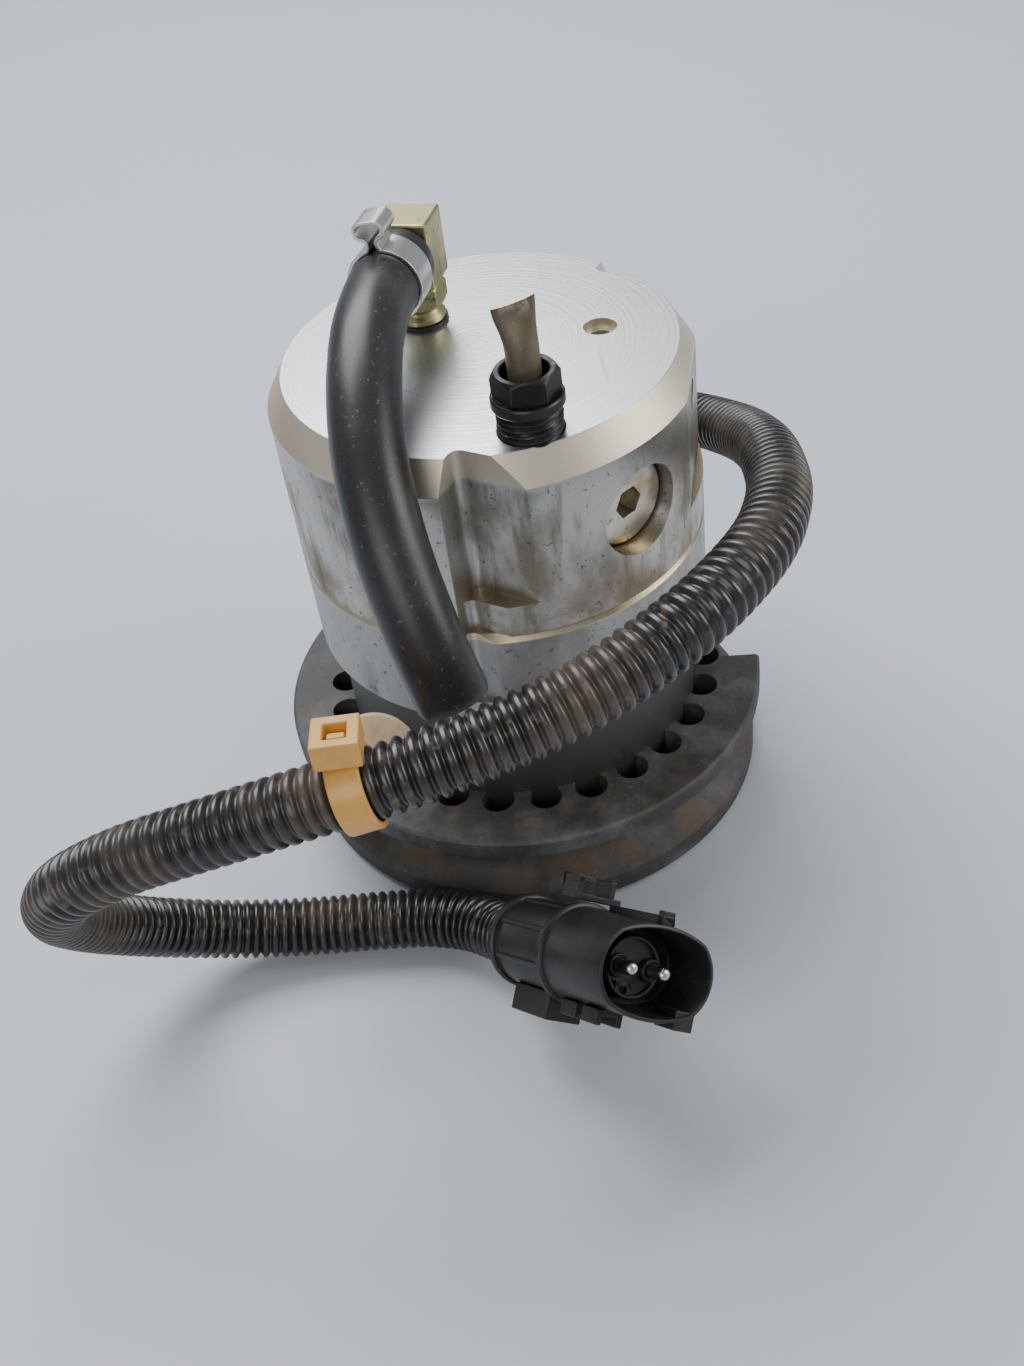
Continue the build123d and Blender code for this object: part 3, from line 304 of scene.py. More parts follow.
def head_finish():
    made = Finish("head_aluminium", (0.50, 0.49, 0.465), 1.0, 0.36)
    x, y, z = made.axes()
    radius = made.radius()
    top = made.ramp(z, 0.11345, 0.11355)
    bevel = made.maths("MULTIPLY", made.ramp(z, 0.1073, 0.1075), made.maths("SUBTRACT", 1.0, top))
    wall = made.maths("SUBTRACT", 1.0, made.ramp(z, 0.1062, 0.1074))
    # painted highlight: the turned top face is painted brighter than the walls
    made.blend(top, (0.72, 0.73, 0.75), 0.33)
    mottle = made.maths("MULTIPLY", made.ramp(made.noise(60, detail=7), 0.44, 0.64), top)
    made.blend(made.maths("MULTIPLY", mottle, 0.35), (0.56, 0.56, 0.57), 0.42)
    # cream bevel: painted warm reflection on the chamfer
    made.blend(made.maths("MULTIPLY", bevel, 0.85), (0.74, 0.67, 0.54), 0.5)
    # dirt on the walls: soft clouds, vertical streaks and fine specks
    clouds = made.maths("MULTIPLY", made.ramp(made.noise(55, stretch=(1, 1, 0.6)), 0.42, 0.66), wall)
    made.blend(made.maths("MULTIPLY", clouds, 0.75), (0.205, 0.165, 0.115), 0.66)
    streaks = made.maths("MULTIPLY", made.ramp(made.noise(210, stretch=(1, 1, 0.16)), 0.52, 0.70), wall)
    made.blend(made.maths("MULTIPLY", streaks, 0.55), (0.15, 0.115, 0.075), 0.7)
    specks = made.ramp(made.noise(900, detail=3), 0.62, 0.70)
    made.blend(
        made.maths("MULTIPLY", specks, made.maths("ADD", made.maths("MULTIPLY", wall, 0.55), 0.12)),
        (0.11, 0.08, 0.05),
        0.75,
    )
    # brown soil gathers low on the wall and in the front cut
    lowest = made.maths("MULTIPLY", made.ramp(z, 0.0865, 0.0735), made.ramp(made.noise(150), 0.38, 0.62))
    made.blend(made.maths("MULTIPLY", lowest, 0.55), (0.26, 0.175, 0.08), 0.68)
    # golden ledges where the flat ends: painted warm highlight on the upward faces
    lit_ledge = made.maths("MULTIPLY", made.facing_up(0.8, 0.95), made.ramp(z, 0.090, 0.089))
    made.blend(made.maths("MULTIPLY", lit_ledge, 0.6), (0.70, 0.55, 0.30), 0.34)
    # faint rose stain on the left of the bevel
    stain = made.maths("MULTIPLY", bevel, made.ramp(x, -0.034, -0.041))
    made.blend(made.maths("MULTIPLY", stain, 0.45), (0.62, 0.30, 0.25), 0.5)
    # turning marks on top, fine scratches everywhere
    rings = made.node("ShaderNodeCombineXYZ")
    made.feed(rings.inputs[0], made.maths("MULTIPLY", radius, 900.0))
    marks = made.node("ShaderNodeTexNoise")
    made.feed(marks.inputs["Vector"], rings.outputs[0])
    marks.inputs["Scale"].default_value = 1.0
    marks.inputs["Detail"].default_value = 3.0
    made.blend(
        made.maths("MULTIPLY", made.ramp(marks.outputs["Fac"], 0.42, 0.62, 0.0, 0.3), top),
        (0.50, 0.50, 0.51),
        0.4,
    )
    scratches = made.ramp(made.noise(260, detail=2, stretch=(1.0, 0.06, 1.0), distortion=0.4), 0.66, 0.70)
    made.blend(made.maths("MULTIPLY", made.maths("MULTIPLY", scratches, top), 0.5), (0.36, 0.35, 0.34), 0.5)
    made.raise_by(made.maths("MULTIPLY", marks.outputs["Fac"], top), 0.045)
    made.raise_by(made.noise(600, stretch=(1, 1, 0.3)), 0.018)
    made.raise_by(made.maths("MULTIPLY", streaks, -1.0), 0.03)
    return made.done(edge=0.25)


def housing_finish():
    made = Finish("housing_aluminium", (0.40, 0.40, 0.385), 1.0, 0.46)
    z = made.axes()[2]
    made.blend(made.ramp(made.noise(70, stretch=(1, 1, 0.5)), 0.4, 0.68, 0.0, 0.7), (0.23, 0.21, 0.18), 0.6)
    made.blend(made.ramp(made.noise(700, detail=3), 0.60, 0.70, 0.0, 0.6), (0.12, 0.10, 0.07), 0.7)
    # painted warm reflection: golden tint on the housing above 71.5 mm
    golden = made.maths(
        "MULTIPLY", made.ramp(z, 0.0713, 0.0717), made.ramp(made.noise(120), 0.3, 0.6, 0.45, 1.0)
    )
    made.blend(golden, (0.78, 0.66, 0.42), 0.28)
    made.raise_by(made.noise(800), 0.03)
    return made.done(edge=0.25)


def can_finish():
    made = Finish("can_steel", (0.13, 0.13, 0.135), 0.85, 0.5)
    made.blend(
        made.ramp(made.noise(60, stretch=(1, 1, 0.4)), 0.42, 0.7, 0.0, 0.7), (0.115, 0.105, 0.095), 0.62
    )
    made.blend(made.ramp(made.noise(420, detail=4), 0.60, 0.72, 0.0, 0.6), (0.20, 0.15, 0.09), 0.7)
    made.raise_by(made.noise(500), 0.03)
    return made.done(edge=0.2)


def ring_finish():
    made = Finish("ring_rubber", (0.036, 0.035, 0.034), 0.0, 0.62)
    z = made.axes()[2]
    # grey bloom, strongest on the upper face and the groove; the upward faces also get painted warm light
    bloom = made.ramp(made.noise(42, detail=8, rough=0.7), 0.46, 0.72)
    made.blend(made.maths("MULTIPLY", bloom, 0.55), (0.19, 0.20, 0.22), 0.75)
    # painted warm light: the upward faces are tinted brown where the light falls on them
    made.blend(
        made.maths("MULTIPLY", made.facing_up(), made.ramp(made.noise(160, detail=6), 0.4, 0.7, 0.0, 0.5)),
        (0.115, 0.088, 0.062),
        0.8,
    )
    # brown soil under the rim and in the groove
    groove = made.maths("MULTIPLY", made.ramp(z, 0.0205, 0.0185), made.ramp(z, 0.005, 0.009))
    made.blend(
        made.maths("MULTIPLY", groove, made.ramp(made.noise(75, detail=6), 0.46, 0.62, 0.0, 0.7)),
        (0.115, 0.078, 0.045),
        0.85,
    )
    made.blend(made.ramp(made.noise(900, detail=3), 0.62, 0.72, 0.0, 0.4), (0.17, 0.14, 0.10), 0.85)
    made.raise_by(made.noise(700), 0.04)
    made.raise_by(bloom, 0.02)
    return made.done(edge=0.35)


def conduit_finish():
    made = Finish("conduit_nylon", (0.014, 0.013, 0.0125), 0.0, 0.30)
    made.blend(made.ramp(made.noise(32, detail=5), 0.44, 0.64, 0.0, 0.85), (0.085, 0.062, 0.043), 0.58)
    made.blend(made.ramp(made.noise(420, detail=4), 0.55, 0.72, 0.0, 0.6), (0.15, 0.115, 0.08), 0.7)
    made.raise_by(made.noise(800), 0.02)
    return made.done(Coat_Weight=0.25, Coat_Roughness=0.2)


def hose_finish():
    made = Finish("hose_rubber", (0.016, 0.016, 0.0175), 0.0, 0.36)
    made.blend(made.ramp(made.noise(60, detail=6), 0.48, 0.72, 0.0, 0.5), (0.05, 0.045, 0.04), 0.55)
    made.blend(made.ramp(made.noise(1100, detail=3), 0.62, 0.72, 0.0, 0.5), (0.18, 0.15, 0.12), 0.7)
    made.raise_by(made.noise(1500, detail=2), 0.02)
    return made.done()


def yellow_zinc_finish():
    made = Finish("yellow_zinc", (0.46, 0.42, 0.22), 0.9, 0.34)
    made.blend(made.ramp(made.noise(130, detail=5), 0.40, 0.66), (0.33, 0.34, 0.16), 0.4)
    made.blend(made.ramp(made.noise(90, detail=3), 0.5, 0.7, 0.0, 0.7), (0.60, 0.52, 0.33), 0.3)
    made.blend(made.ramp(made.noise(700, detail=3), 0.62, 0.70, 0.0, 0.7), (0.10, 0.07, 0.03), 0.7)
    made.raise_by(made.noise(500), 0.03)
    return made.done(edge=0.3)


def connector_finish():
    made = Finish("connector_plastic", (0.012, 0.011, 0.0105), 0.0, 0.40)
    made.blend(made.ramp(made.noise(75, detail=6), 0.46, 0.70, 0.0, 0.5), (0.034, 0.028, 0.023), 0.55)
    made.blend(made.ramp(made.noise(1300, detail=3), 0.60, 0.72, 0.0, 0.4), (0.10, 0.085, 0.07), 0.7)
    made.raise_by(made.noise(1600, detail=2), 0.015)
    return made.done(edge=0.2)


def tie_finish():
    made = Finish("tie_nylon", (0.66, 0.35, 0.075), 0.0, 0.36)
    made.blend(made.ramp(made.noise(180), 0.4, 0.7, 0.0, 0.5), (0.50, 0.25, 0.05), 0.48)
    made.raise_by(made.noise(900), 0.015)
    return made.done(
        edge=0.3, Subsurface_Weight=0.1, Subsurface_Radius=(0.004, 0.002, 0.001), Coat_Weight=0.15
    )


def foot_finish():
    made = Finish("foot_nylon", (0.58, 0.43, 0.27), 0.0, 0.5)
    made.blend(made.ramp(made.noise(260, detail=5), 0.45, 0.7, 0.0, 0.6), (0.42, 0.30, 0.18), 0.6)
    made.blend(made.ramp(made.noise(500, detail=4), 0.62, 0.70, 0.0, 0.7), (0.12, 0.08, 0.05), 0.7)
    made.raise_by(made.noise(900), 0.02)
    return made.done(edge=0.3, Subsurface_Weight=0.1, Subsurface_Radius=(0.003, 0.002, 0.001))


def nut_finish():
    made = Finish("nut_black", (0.022, 0.022, 0.024), 0.7, 0.36)
    made.blend(made.ramp(made.noise(220), 0.45, 0.7, 0.0, 0.6), (0.06, 0.05, 0.04), 0.5)
    made.blend(made.maths("MULTIPLY", made.worn_edges(0.53, 0.60), 0.35), (0.26, 0.23, 0.20), 0.35)
    made.raise_by(made.noise(900), 0.02)
    return made.done(edge=0.15)


def pipe_finish():
    made = Finish("pipe_coating", (0.17, 0.14, 0.095), 0.55, 0.42)
    z = made.axes()[2]
    made.blend(made.ramp(made.noise(120, stretch=(1, 1, 0.5)), 0.4, 0.7, 0.0, 0.7), (0.11, 0.085, 0.055), 0.5)
    made.blend(made.ramp(made.noise(1000, detail=3), 0.64, 0.72, 0.0, 0.45), (0.34, 0.28, 0.21), 0.4)
    made.blend(
        made.maths(
            "MULTIPLY", made.ramp(z, 0.1365, 0.139), made.ramp(made.noise(500), 0.45, 0.6, 0.0, 0.6)
        ),
        (0.45, 0.38, 0.30),
        0.35,
    )
    made.raise_by(made.noise(700), 0.02)
    return made.done()


finishes = {
    "machined_aluminium": head_finish(),
    "cast_aluminium": housing_finish(),
    "zinc_steel": can_finish(),
    "steel": plain("steel", (0.46, 0.45, 0.44), 1.0, 0.34),
    "stainless": plain("stainless", (0.70, 0.69, 0.67), 1.0, 0.27),
    "black_steel": nut_finish(),
    "yellow_zinc": yellow_zinc_finish(),
    "coated_pipe": pipe_finish(),
    "ring_rubber": ring_finish(),
    "hose_rubber": hose_finish(),
    "seal_rubber": plain("seal_rubber", (0.02, 0.02, 0.02), 0.0, 0.5),
    "conduit_plastic": conduit_finish(),
    "connector_plastic": connector_finish(),
    "tie_plastic": tie_finish(),
    "foot_plastic": foot_finish(),
    "board_plastic": plain("board_laminate", (0.24, 0.17, 0.10), 0.0, 0.55),
    "lead_plastic": plain("lead_insulation", (0.32, 0.03, 0.02), 0.0, 0.4),
    "copper": plain("copper", (0.70, 0.33, 0.17), 1.0, 0.32),
    "brass": plain("brass", (0.66, 0.50, 0.22), 1.0, 0.3),
    "magnet": plain("ferrite", (0.10, 0.10, 0.105), 0.2, 0.6),
    "carbon": plain("carbon", (0.028, 0.028, 0.03), 0.0, 0.55),
}
pin_steel = plain("pin_steel", (0.62, 0.61, 0.59), 1.0, 0.26)
cut_edge = plain("cut_steel", (0.80, 0.68, 0.52), 1.0, 0.3)
plug_steel = Finish("plug_steel", (0.55, 0.53, 0.48), 1.0, 0.32)
plug_steel.blend(plug_steel.ramp(plug_steel.noise(140), 0.42, 0.62, 0.0, 0.8), (0.42, 0.31, 0.12), 0.42)
plug_steel.blend(plug_steel.ramp(plug_steel.noise(600), 0.58, 0.7, 0.0, 0.7), (0.09, 0.06, 0.03), 0.6)
plug_steel = plug_steel.done(edge=0.25)

for item in frame["record"]["subparts"]:
    node = frame["nodes"][item["node"]]
    node.data.materials.clear()
    node.data.materials.append(finishes[item["material_slot"]])
frame["nodes"]["side_plug"].data.materials[0] = plug_steel


# ---- cords ----
CONDUIT_ROUTE = [
    (8.0, 56.0, 60.0),
    (25.0, 56.0, 60.0),
    (41.0, 49.0, 62.0),
    (52.5, 33.0, 66.5),
    (57.5, 11.0, 76.0),
    (57.5, -13.0, 86.5),
    (54.5, -37.0, 93.5),
    (47.0, -57.5, 97.5),
    (32.5, -74.0, 97.5),
    (14.0, -84.5, 93.5),
    (-4.0, -89.5, 89.5),
    (-22.0, -92.5, 86.8),
    (-40.0, -92.5, 83.0),
    (-58.0, -91.0, 77.5),
    (-76.0, -88.5, 71.0),
    (-89.5, -85.5, 62.5),
    (-97.5, -78.5, 49.0),
    (-96.5, -69.0, 33.5),
    (-87.5, -61.0, 19.5),
    (-73.0, -57.0, 10.5),
    (-56.0, -56.5, 7.0),
    (-39.0, -57.3, 6.6),
    (-28.5, -58.3, 6.6),
    (-18.8, -62.2, 8.0),
]
HOSE_ROUTE = [
    HOSE_START,
    HOSE_START + BARB * 15.5,
    (-20.4, -19.0, 129.6),
    (-22.0, -33.0, 125.0),
    (-22.3, -46.0, 117.0),
    (-20.4, -57.0, 106.0),
    (-17.2, -65.0, 94.0),
    (-13.4, -70.0, 81.0),
]

azimuth, rise = math.radians(-54.0), math.radians(33.0)
AXIS = Vector((math.cos(rise) * math.cos(azimuth), math.cos(rise) * math.sin(azimuth), math.sin(rise)))
LEVEL = Vector((math.cos(azimuth + math.pi / 2), math.sin(azimuth + math.pi / 2), 0.0))
OVAL = Matrix.Rotation(math.radians(-44.5), 3, AXIS) @ LEVEL
plug = frame_at(CONNECTOR, AXIS, OVAL)
CONDUIT_ROUTE += [CONNECTOR - AXIS * 9.0, CONNECTOR]


def rounded(route, step):
    """Points along a route whose corners are rounded over 0.45 of the shorter run."""
    route = [Vector(p) for p in route]
    line = [route[0]]
    for before, corner, after in zip(route, route[1:], route[2:]):
        run_in, run_out = corner - before, after - corner
        reach = 0.45 * min(run_in.length, run_out.length)
        run_in.normalize()
        run_out.normalize()
        half = run_in.angle(run_out) / 2
        radius = reach / math.tan(half)
        centre = corner + (run_out - run_in).normalized() * (radius / math.cos(half))
        start = corner - run_in * reach - centre
        turn = Matrix.Rotation
        axis = run_in.cross(run_out)
        count = max(3, int(radius * 2 * half / step) + 1)
        for i in range(count + 1):
            line.append(centre + turn(2 * half * i / count, 3, axis) @ start)
    line.append(route[-1])
    even = [line[0]]
    for a, b in zip(line, line[1:]):
        count = max(1, round((b - a).length / step))
        even += [a.lerp(b, (i + 1) / count) for i in range(count)]
    return even


def lengths(line):
    """The distance along a line to each of its points."""
    total = [0.0]
    for a, b in zip(line, line[1:]):
        total.append(total[-1] + (b - a).length)
    return total


def carried_frames(line):
    """A placement at each point, turned as little as possible from one to the next."""
    places = []
    side = Vector((0, 0, 1))
    for i, point in enumerate(line):
        ahead = (line[min(i + 1, len(line) - 1)] - line[max(i - 1, 0)]).normalized()
        side = (side - ahead * side.dot(ahead)).normalized()
        places.append(frame_at(point, ahead, side))
    return places


def hoop(place, radius, count):
    return [
        place @ Vector(
            (radius * math.cos(2 * math.pi * j / count), radius * math.sin(2 * math.pi * j / count), 0),
        )
        for j in range(count)
    ]


conduit_line = rounded(CONDUIT_ROUTE, 0.25)
conduit_at = lengths(conduit_line)
conduit_places = carried_frames(conduit_line)
rings, turns = [], 0.0
for i, place in enumerate(conduit_places):
    if i:
        pitch = 2.75 if conduit_at[i] < 300 else max(2.2, 2.75 - (conduit_at[i] - 300) * 0.012)
        turns += (conduit_at[i] - conduit_at[i - 1]) / pitch
    groove = (0.5 + 0.5 * math.cos(2 * math.pi * turns)) ** 2.0
    rings.append(hoop(place, CONDUIT_R - 1.05 * groove, 40))
conduit = piece(
    "conduit_corrugated",
    skin(rings),
    finishes["conduit_plastic"],
    replaces=["conduit"],
    sharp=80,
)

hose_line = rounded(HOSE_ROUTE, 0.8)
hose_at = lengths(hose_line)
hose_places = carried_frames(hose_line)
rings = []
for at, place in zip(hose_at, hose_places):
    pinch = 0.16 * math.exp(-((at - 8.1) / 3.2) ** 6)
    swell = 0.12 * math.exp(-((at - 13.0) / 2.0) ** 2) + 0.10 * math.exp(-((at - 3.0) / 1.5) ** 2)
    ends = 0.35 * max(0.0, 1 - at / 0.5) + 0.25 * max(0.0, 1 - (hose_at[-1] - at) / 0.5)
    rings.append(hoop(place, HOSE_R - pinch + swell - ends, 56))
for place in reversed(hose_places):
    rings.append(hoop(place, 4.0, 56))
hose = piece(
    "hose_tube",
    skin(rings, closed=True),
    finishes["hose_rubber"],
    replaces=["hose"],
    sharp=40,
)

# ---- tube nut with its thread, and the pinched pipe ----
def hexagon(apothem, turned_by=0.0):
    """The radius of a hexagon at an angle."""
    def radius(angle):
        local = (math.degrees(angle) - turned_by) % 60 - 30
        return apothem / math.cos(math.radians(local))
    return radius


def hexagon_cut(apothem, limit, turned_by=0.0):
    """A hexagon whose corners are turned down to a limit."""
    full = hexagon(apothem, turned_by)
    return lambda angle: min(full(angle), limit)


nut_place = Matrix.Translation(NUT)
APOTHEM = 5.75
thread_rings = []
for i in range(61):
    z = 105.2 + 14.0 * i / 60
    run_out = min(1.0, (119.3 - z) / 1.0)
    ring = []
    for j in range(72):
        angle = 2 * math.pi * j / 72
        phase = (z / 1.25 - j / 72) % 1.0
        depth = 0.72 * abs(2 * phase - 1) ** 0.9 * run_out
        r = 6.5 - depth
        ring.append(nut_place @ Vector((r * math.cos(angle), r * math.sin(angle), z)))
    thread_rings.append(ring)
head_rings = [(119.2, 6.2), (119.2, 6.9), (119.45, 7.05), (121.0, 7.05), (121.4, 6.75)]
for i in range(7):
    z = 121.4 + 0.8 * i / 6
    head_rings.append((z, hexagon_cut(APOTHEM, 6.0 + 1.1 * (z - 121.4))))
for i in range(7):
    z = 125.3 + 1.0 * i / 6
    head_rings.append((z, hexagon_cut(APOTHEM, 6.65 - 0.95 * (z - 125.3))))
head_rings += [(126.3, 4.9), (126.1, 4.6), (121.0, 4.4), (121.0, PIPE_R + 0.1)]
piece(
    "tube_nut_threaded",
    together(skin(thread_rings), turned(nut_place, head_rings, segments=120, closed=True)),
    finishes["black_steel"],
    replaces=["tube_nut"],
    sharp=25,
)

pipe_rings = []
for i in range(41):
    share = i / 40
    z = 105.3 + (140.4 - 105.3) * share
    squeeze = max(0.0, (z - 129.5) / 10.9)
    squeeze = squeeze * squeeze * (3 - 2 * squeeze)
    half_wide = PIPE_R + 0.85 * squeeze ** 1.6
    half_thick = PIPE_R - (PIPE_R - 0.85) * squeeze
    lean = Vector((-0.7 * squeeze, 0.6 * squeeze, 0))
    ring = []
    for j in range(56):
        angle = 2 * math.pi * j / 56
        x, y = half_wide * math.cos(angle), half_thick * math.sin(angle)
        slant = 0.24 * x * max(0.0, (z - 128) / 12.4)
        ring.append(NUT + lean + Vector((x, y, z + slant - 0.95 * max(0.0, (z - 128) / 12.4))))
    pipe_rings.append(ring)
pipe = piece(
    "pipe_pinched",
    skin(pipe_rings),
    finishes["coated_pipe"],
    replaces=["pipe_stub"],
    sharp=50,
)
pipe.data.materials.append(cut_edge)
for polygon in pipe.data.polygons:
    if len(polygon.vertices) > 4 and polygon.center.z > 0.13:
        polygon.material_index = 1

# ---- suction elbow, its clamp ----
elbow_place = Matrix.Translation(ELBOW)
block_place = frame_at(ELBOW + Vector((0, 0, 123.0)), (0, 0, 1), BARB)
base = [
    (105.0, 0.5), (105.0, 4.5), (114.5, 4.5), (114.5, 5.0), (114.7, 5.15), (115.6, 5.15), (116.0, 4.8),
    (116.5, 4.3), (117.1, 4.25), (117.8, 4.7),
]
for i in range(6):
    z = 118.0 + 0.8 * i / 5
    base.append((z, hexagon_cut(5.3, 5.3 + 1.0 * (z - 118.0), 6.0)))
for i in range(6):
    z = 121.9 + 0.9 * i / 5
    base.append((z, hexagon_cut(5.3, 6.1 - 1.0 * (z - 121.9), 6.0)))
base += [(122.9, 4.6), (124.0, 4.6), (124.0, 0.5)]
piece("elbow_base", turned(elbow_place, base, segments=120), finishes["yellow_zinc"], sharp=25)
body = block(block_place, 0, 0, 0.0, 10.4, 11.4, 14.2)
piece("elbow_block", body, finishes["yellow_zinc"], replaces=["elbow_fitting"], bevel=0.6)
barb_place = frame_at(ELBOW + Vector((0, 0, BARB_Z)), BARB, (0, 0, 1))
barb_profile = [(4.0, 4.2), (5.4, 4.2), (5.4, 3.9), (15.6, 3.9), (15.6, 2.4), (4.0, 2.4)]
piece("elbow_barb", turned(barb_place, barb_profile, 48, closed=True), finishes["yellow_zinc"])


def strip(place, line, thickness, width):
    """A flat band bent along a line in the placement's xy plane, its width along z."""
    outline_out, outline_in = [], []
    for i, (x, y) in enumerate(line):
        x0, y0 = line[i - 1]
        x1, y1 = line[(i + 1) % len(line)]
        run = math.hypot(x1 - x0, y1 - y0) or 1.0
        nx, ny = (y1 - y0) / run * thickness / 2, -(x1 - x0) / run * thickness / 2
        outline_out.append((x + nx, y + ny))
        outline_in.append((x - nx, y - ny))
    rings = [
        [place @ Vector((x, y, z)) for x, y in outline]
        for outline, z in (
            (outline_out, 0.15),
            (outline_out, width - 0.15),
            (outline_in, width - 0.15),
            (outline_in, 0.15),
        )
    ]
    return skin(rings, closed=True)


clamp_x = Matrix.Rotation(math.radians(8.0), 3, BARB) @ Vector((0, 0, 1))
clamp_place = frame_at(HOSE_START + BARB * 4.6, BARB, clamp_x)
CLAMP_R = HOSE_R + 0.06 + 0.35
band = []
for i in range(97):
    angle = math.radians(11.0 + (360 - 22.0) * i / 96)
    band.append((CLAMP_R * math.cos(angle), CLAMP_R * math.sin(angle)))
ear = [
    (8.3, -0.95),
    (9.1, -0.95),
    (9.7, -1.5),
    (10.0, -2.4),
    (10.5, -2.85),
    (11.6, -2.95),
    (12.5, -2.6),
    (12.9, -1.9),
    (13.0, -1.0),
]
ear = ear + [(x, -y) for x, y in reversed(ear)]
piece(
    "hose_clamp_band",
    strip(clamp_place, band + ear, 0.7, 7.0),
    finishes["stainless"],
    replaces=["hose_clamp"],
    bevel=0.15,
    sharp=40,
)

# ---- cable tie and its round foot ----
tie_place = frame_at(TIE_POINT, TIE_ALONG, (0, 1, 0))
strap = []
for i in range(73):
    angle = 2 * math.pi * i / 72
    strap.append((7.3 * math.cos(angle), 7.3 * math.sin(angle)))
tie_head = frame_at(TIE_POINT + Vector((-1.5, 1.0, 7.4)), (0, 0.1, 1), TIE_ALONG)
head_outline = [(-4.2, -4.2), (4.2, -4.2), (4.2, 4.2), (-4.2, 4.2)]
window = [(-2.0, -2.1), (2.0, -2.1), (2.0, 2.1), (-2.0, 2.1)]
shell = [
    [tie_head @ Vector((x, y, 0.0)) for x, y in head_outline],
    [tie_head @ Vector((x, y, 5.2)) for x, y in head_outline],
    [tie_head @ Vector((x, y, 5.2)) for x, y in window],
    [tie_head @ Vector((x, y, 1.2)) for x, y in window],
]
pawl = block(tie_head, -0.1, 0.3, 1.0, 3.2, 1.6, 3.4)
piece(
    "cable_tie_band",
    together(strip(tie_place @ Matrix.Translation((0, 0, -3.2)), strap[:-1], 1.2, 6.4), skin(shell), pawl),
    finishes["tie_plastic"],
    replaces=["cable_tie"],
    bevel=0.35,
)

foot_place = frame_at(FOOT, FOOT_NORMAL, (1, 0, -0.1))
foot_profile = [(-13.0, 0.4), (-12.2, 2.0), (-11.7, 2.3)]
for fin in range(4):
    z = -5.0 - 2.2 * (3 - fin)
    foot_profile += [
        (z - 0.7, 2.2), (z - 0.6, 3.7 - 0.3 * (3 - fin)), (z, 3.7 - 0.3 * (3 - fin)), (z + 0.2, 2.2)
    ]
foot_profile += [(-1.8, 2.2), (-1.8, 6.0), (-1.5, 7.9), (-0.7, 8.2), (0.0, 7.6), (0.0, 0.4)]
piece(
    "tie_foot_disc",
    turned(foot_place, foot_profile, 72),
    finishes["foot_plastic"],
    replaces=["tie_foot"],
    sharp=35,
)

# ---- connector ----
plastic = finishes["connector_plastic"]


def obround(straight, radius, shift, count=72):
    """Points of an oval with straight sides, its ends about shift - straight and shift + straight."""
    points = []
    for j in range(count):
        angle = 2 * math.pi * j / count
        c, s = math.cos(angle), math.sin(angle)
        points.append((shift + straight * max(-1.0, min(1.0, 1.6 * c)) + radius * c, radius * s))
    return points


def section(z, straight, radius, shift):
    return [plug @ Vector((x, y, z)) for x, y in obround(straight, radius, shift)]


def mouth(z, radius):
    """A ring of the oval mouth."""
    return section(z, MOUTH_STRAIGHT, radius, MOUTH_SHIFT)


shell_rings = [
    section(FLANGE_Z, 0, 7.0, 0),
    section(FLANGE_Z, 0, FLANGE_R - 0.4, 0),
    section(FLANGE_Z + 0.3, 0, FLANGE_R, 0),
    section(FLANGE_Z + 1.5, 0, FLANGE_R, 0),
    section(FLANGE_Z + 1.8, 0, FLANGE_R - 0.4, 0),
    # round behind the flange, oval at the mouth
    section(FLANGE_Z + 1.9, 0.1, 9.5, 0),
    section(24.0, 0.6, 9.45, 0.4),
    section(26.5, 1.8, 9.3, 1.3),
    section(29.0, 3.2, 9.15, 2.3),
    mouth(MOUTH_START, MOUTH_R),
    mouth(CONNECTOR_LENGTH - 0.8, MOUTH_R),
    mouth(CONNECTOR_LENGTH - 0.2, MOUTH_R - 0.15),
    mouth(CONNECTOR_LENGTH, MOUTH_R - 0.45),
    mouth(CONNECTOR_LENGTH, MOUTH_R - 0.75),
    mouth(CONNECTOR_LENGTH - 0.4, MOUTH_R - 1.0),
    mouth(MOUTH_START + 1.0, MOUTH_R - 1.1),
    mouth(MOUTH_START + 0.4, MOUTH_R - 1.3),
    mouth(MOUTH_START, MOUTH_R - 1.7),
    section(MOUTH_START, 0.6, 6.5, INSERT_X),
    section(FLANGE_Z, 0, 6.4, 0.6),
]
rail = together(
    block(plug, 4.0, 9.75, 24.0, 2.8, 1.9, 18.6),
    block(plug, 4.0, 10.2, 40.8, 2.8, 2.8, 1.8),
)
lower_foot = block(plug, 11.2, -7.9, 37.0, 4.4, 3.8, 6.5)
clips = []
for clip_z in (24.0, 31.5):
    for clip_x in (-3.3, 1.3):
        clips.append(block(plug, clip_x, -10.2, clip_z, 1.4, 3.0, 5.4))
    clips.append(block(plug, -1.0, -9.2, clip_z, 4.6, 1.4, 5.4))
mark = together(
    block(plug, -6.35, 2.2, 33.0, 0.5, 3.6, 4.2),
    block(plug, -6.4, 2.2, 34.2, 0.9, 1.6, 1.8),
)
piece(
    "connector_front",
    skin(shell_rings, closed=True),
    plastic,
    replaces=["connector_shell"],
    sharp=35,
)
piece("connector_details", together(rail, lower_foot, *clips, mark), plastic, bevel=0.3)

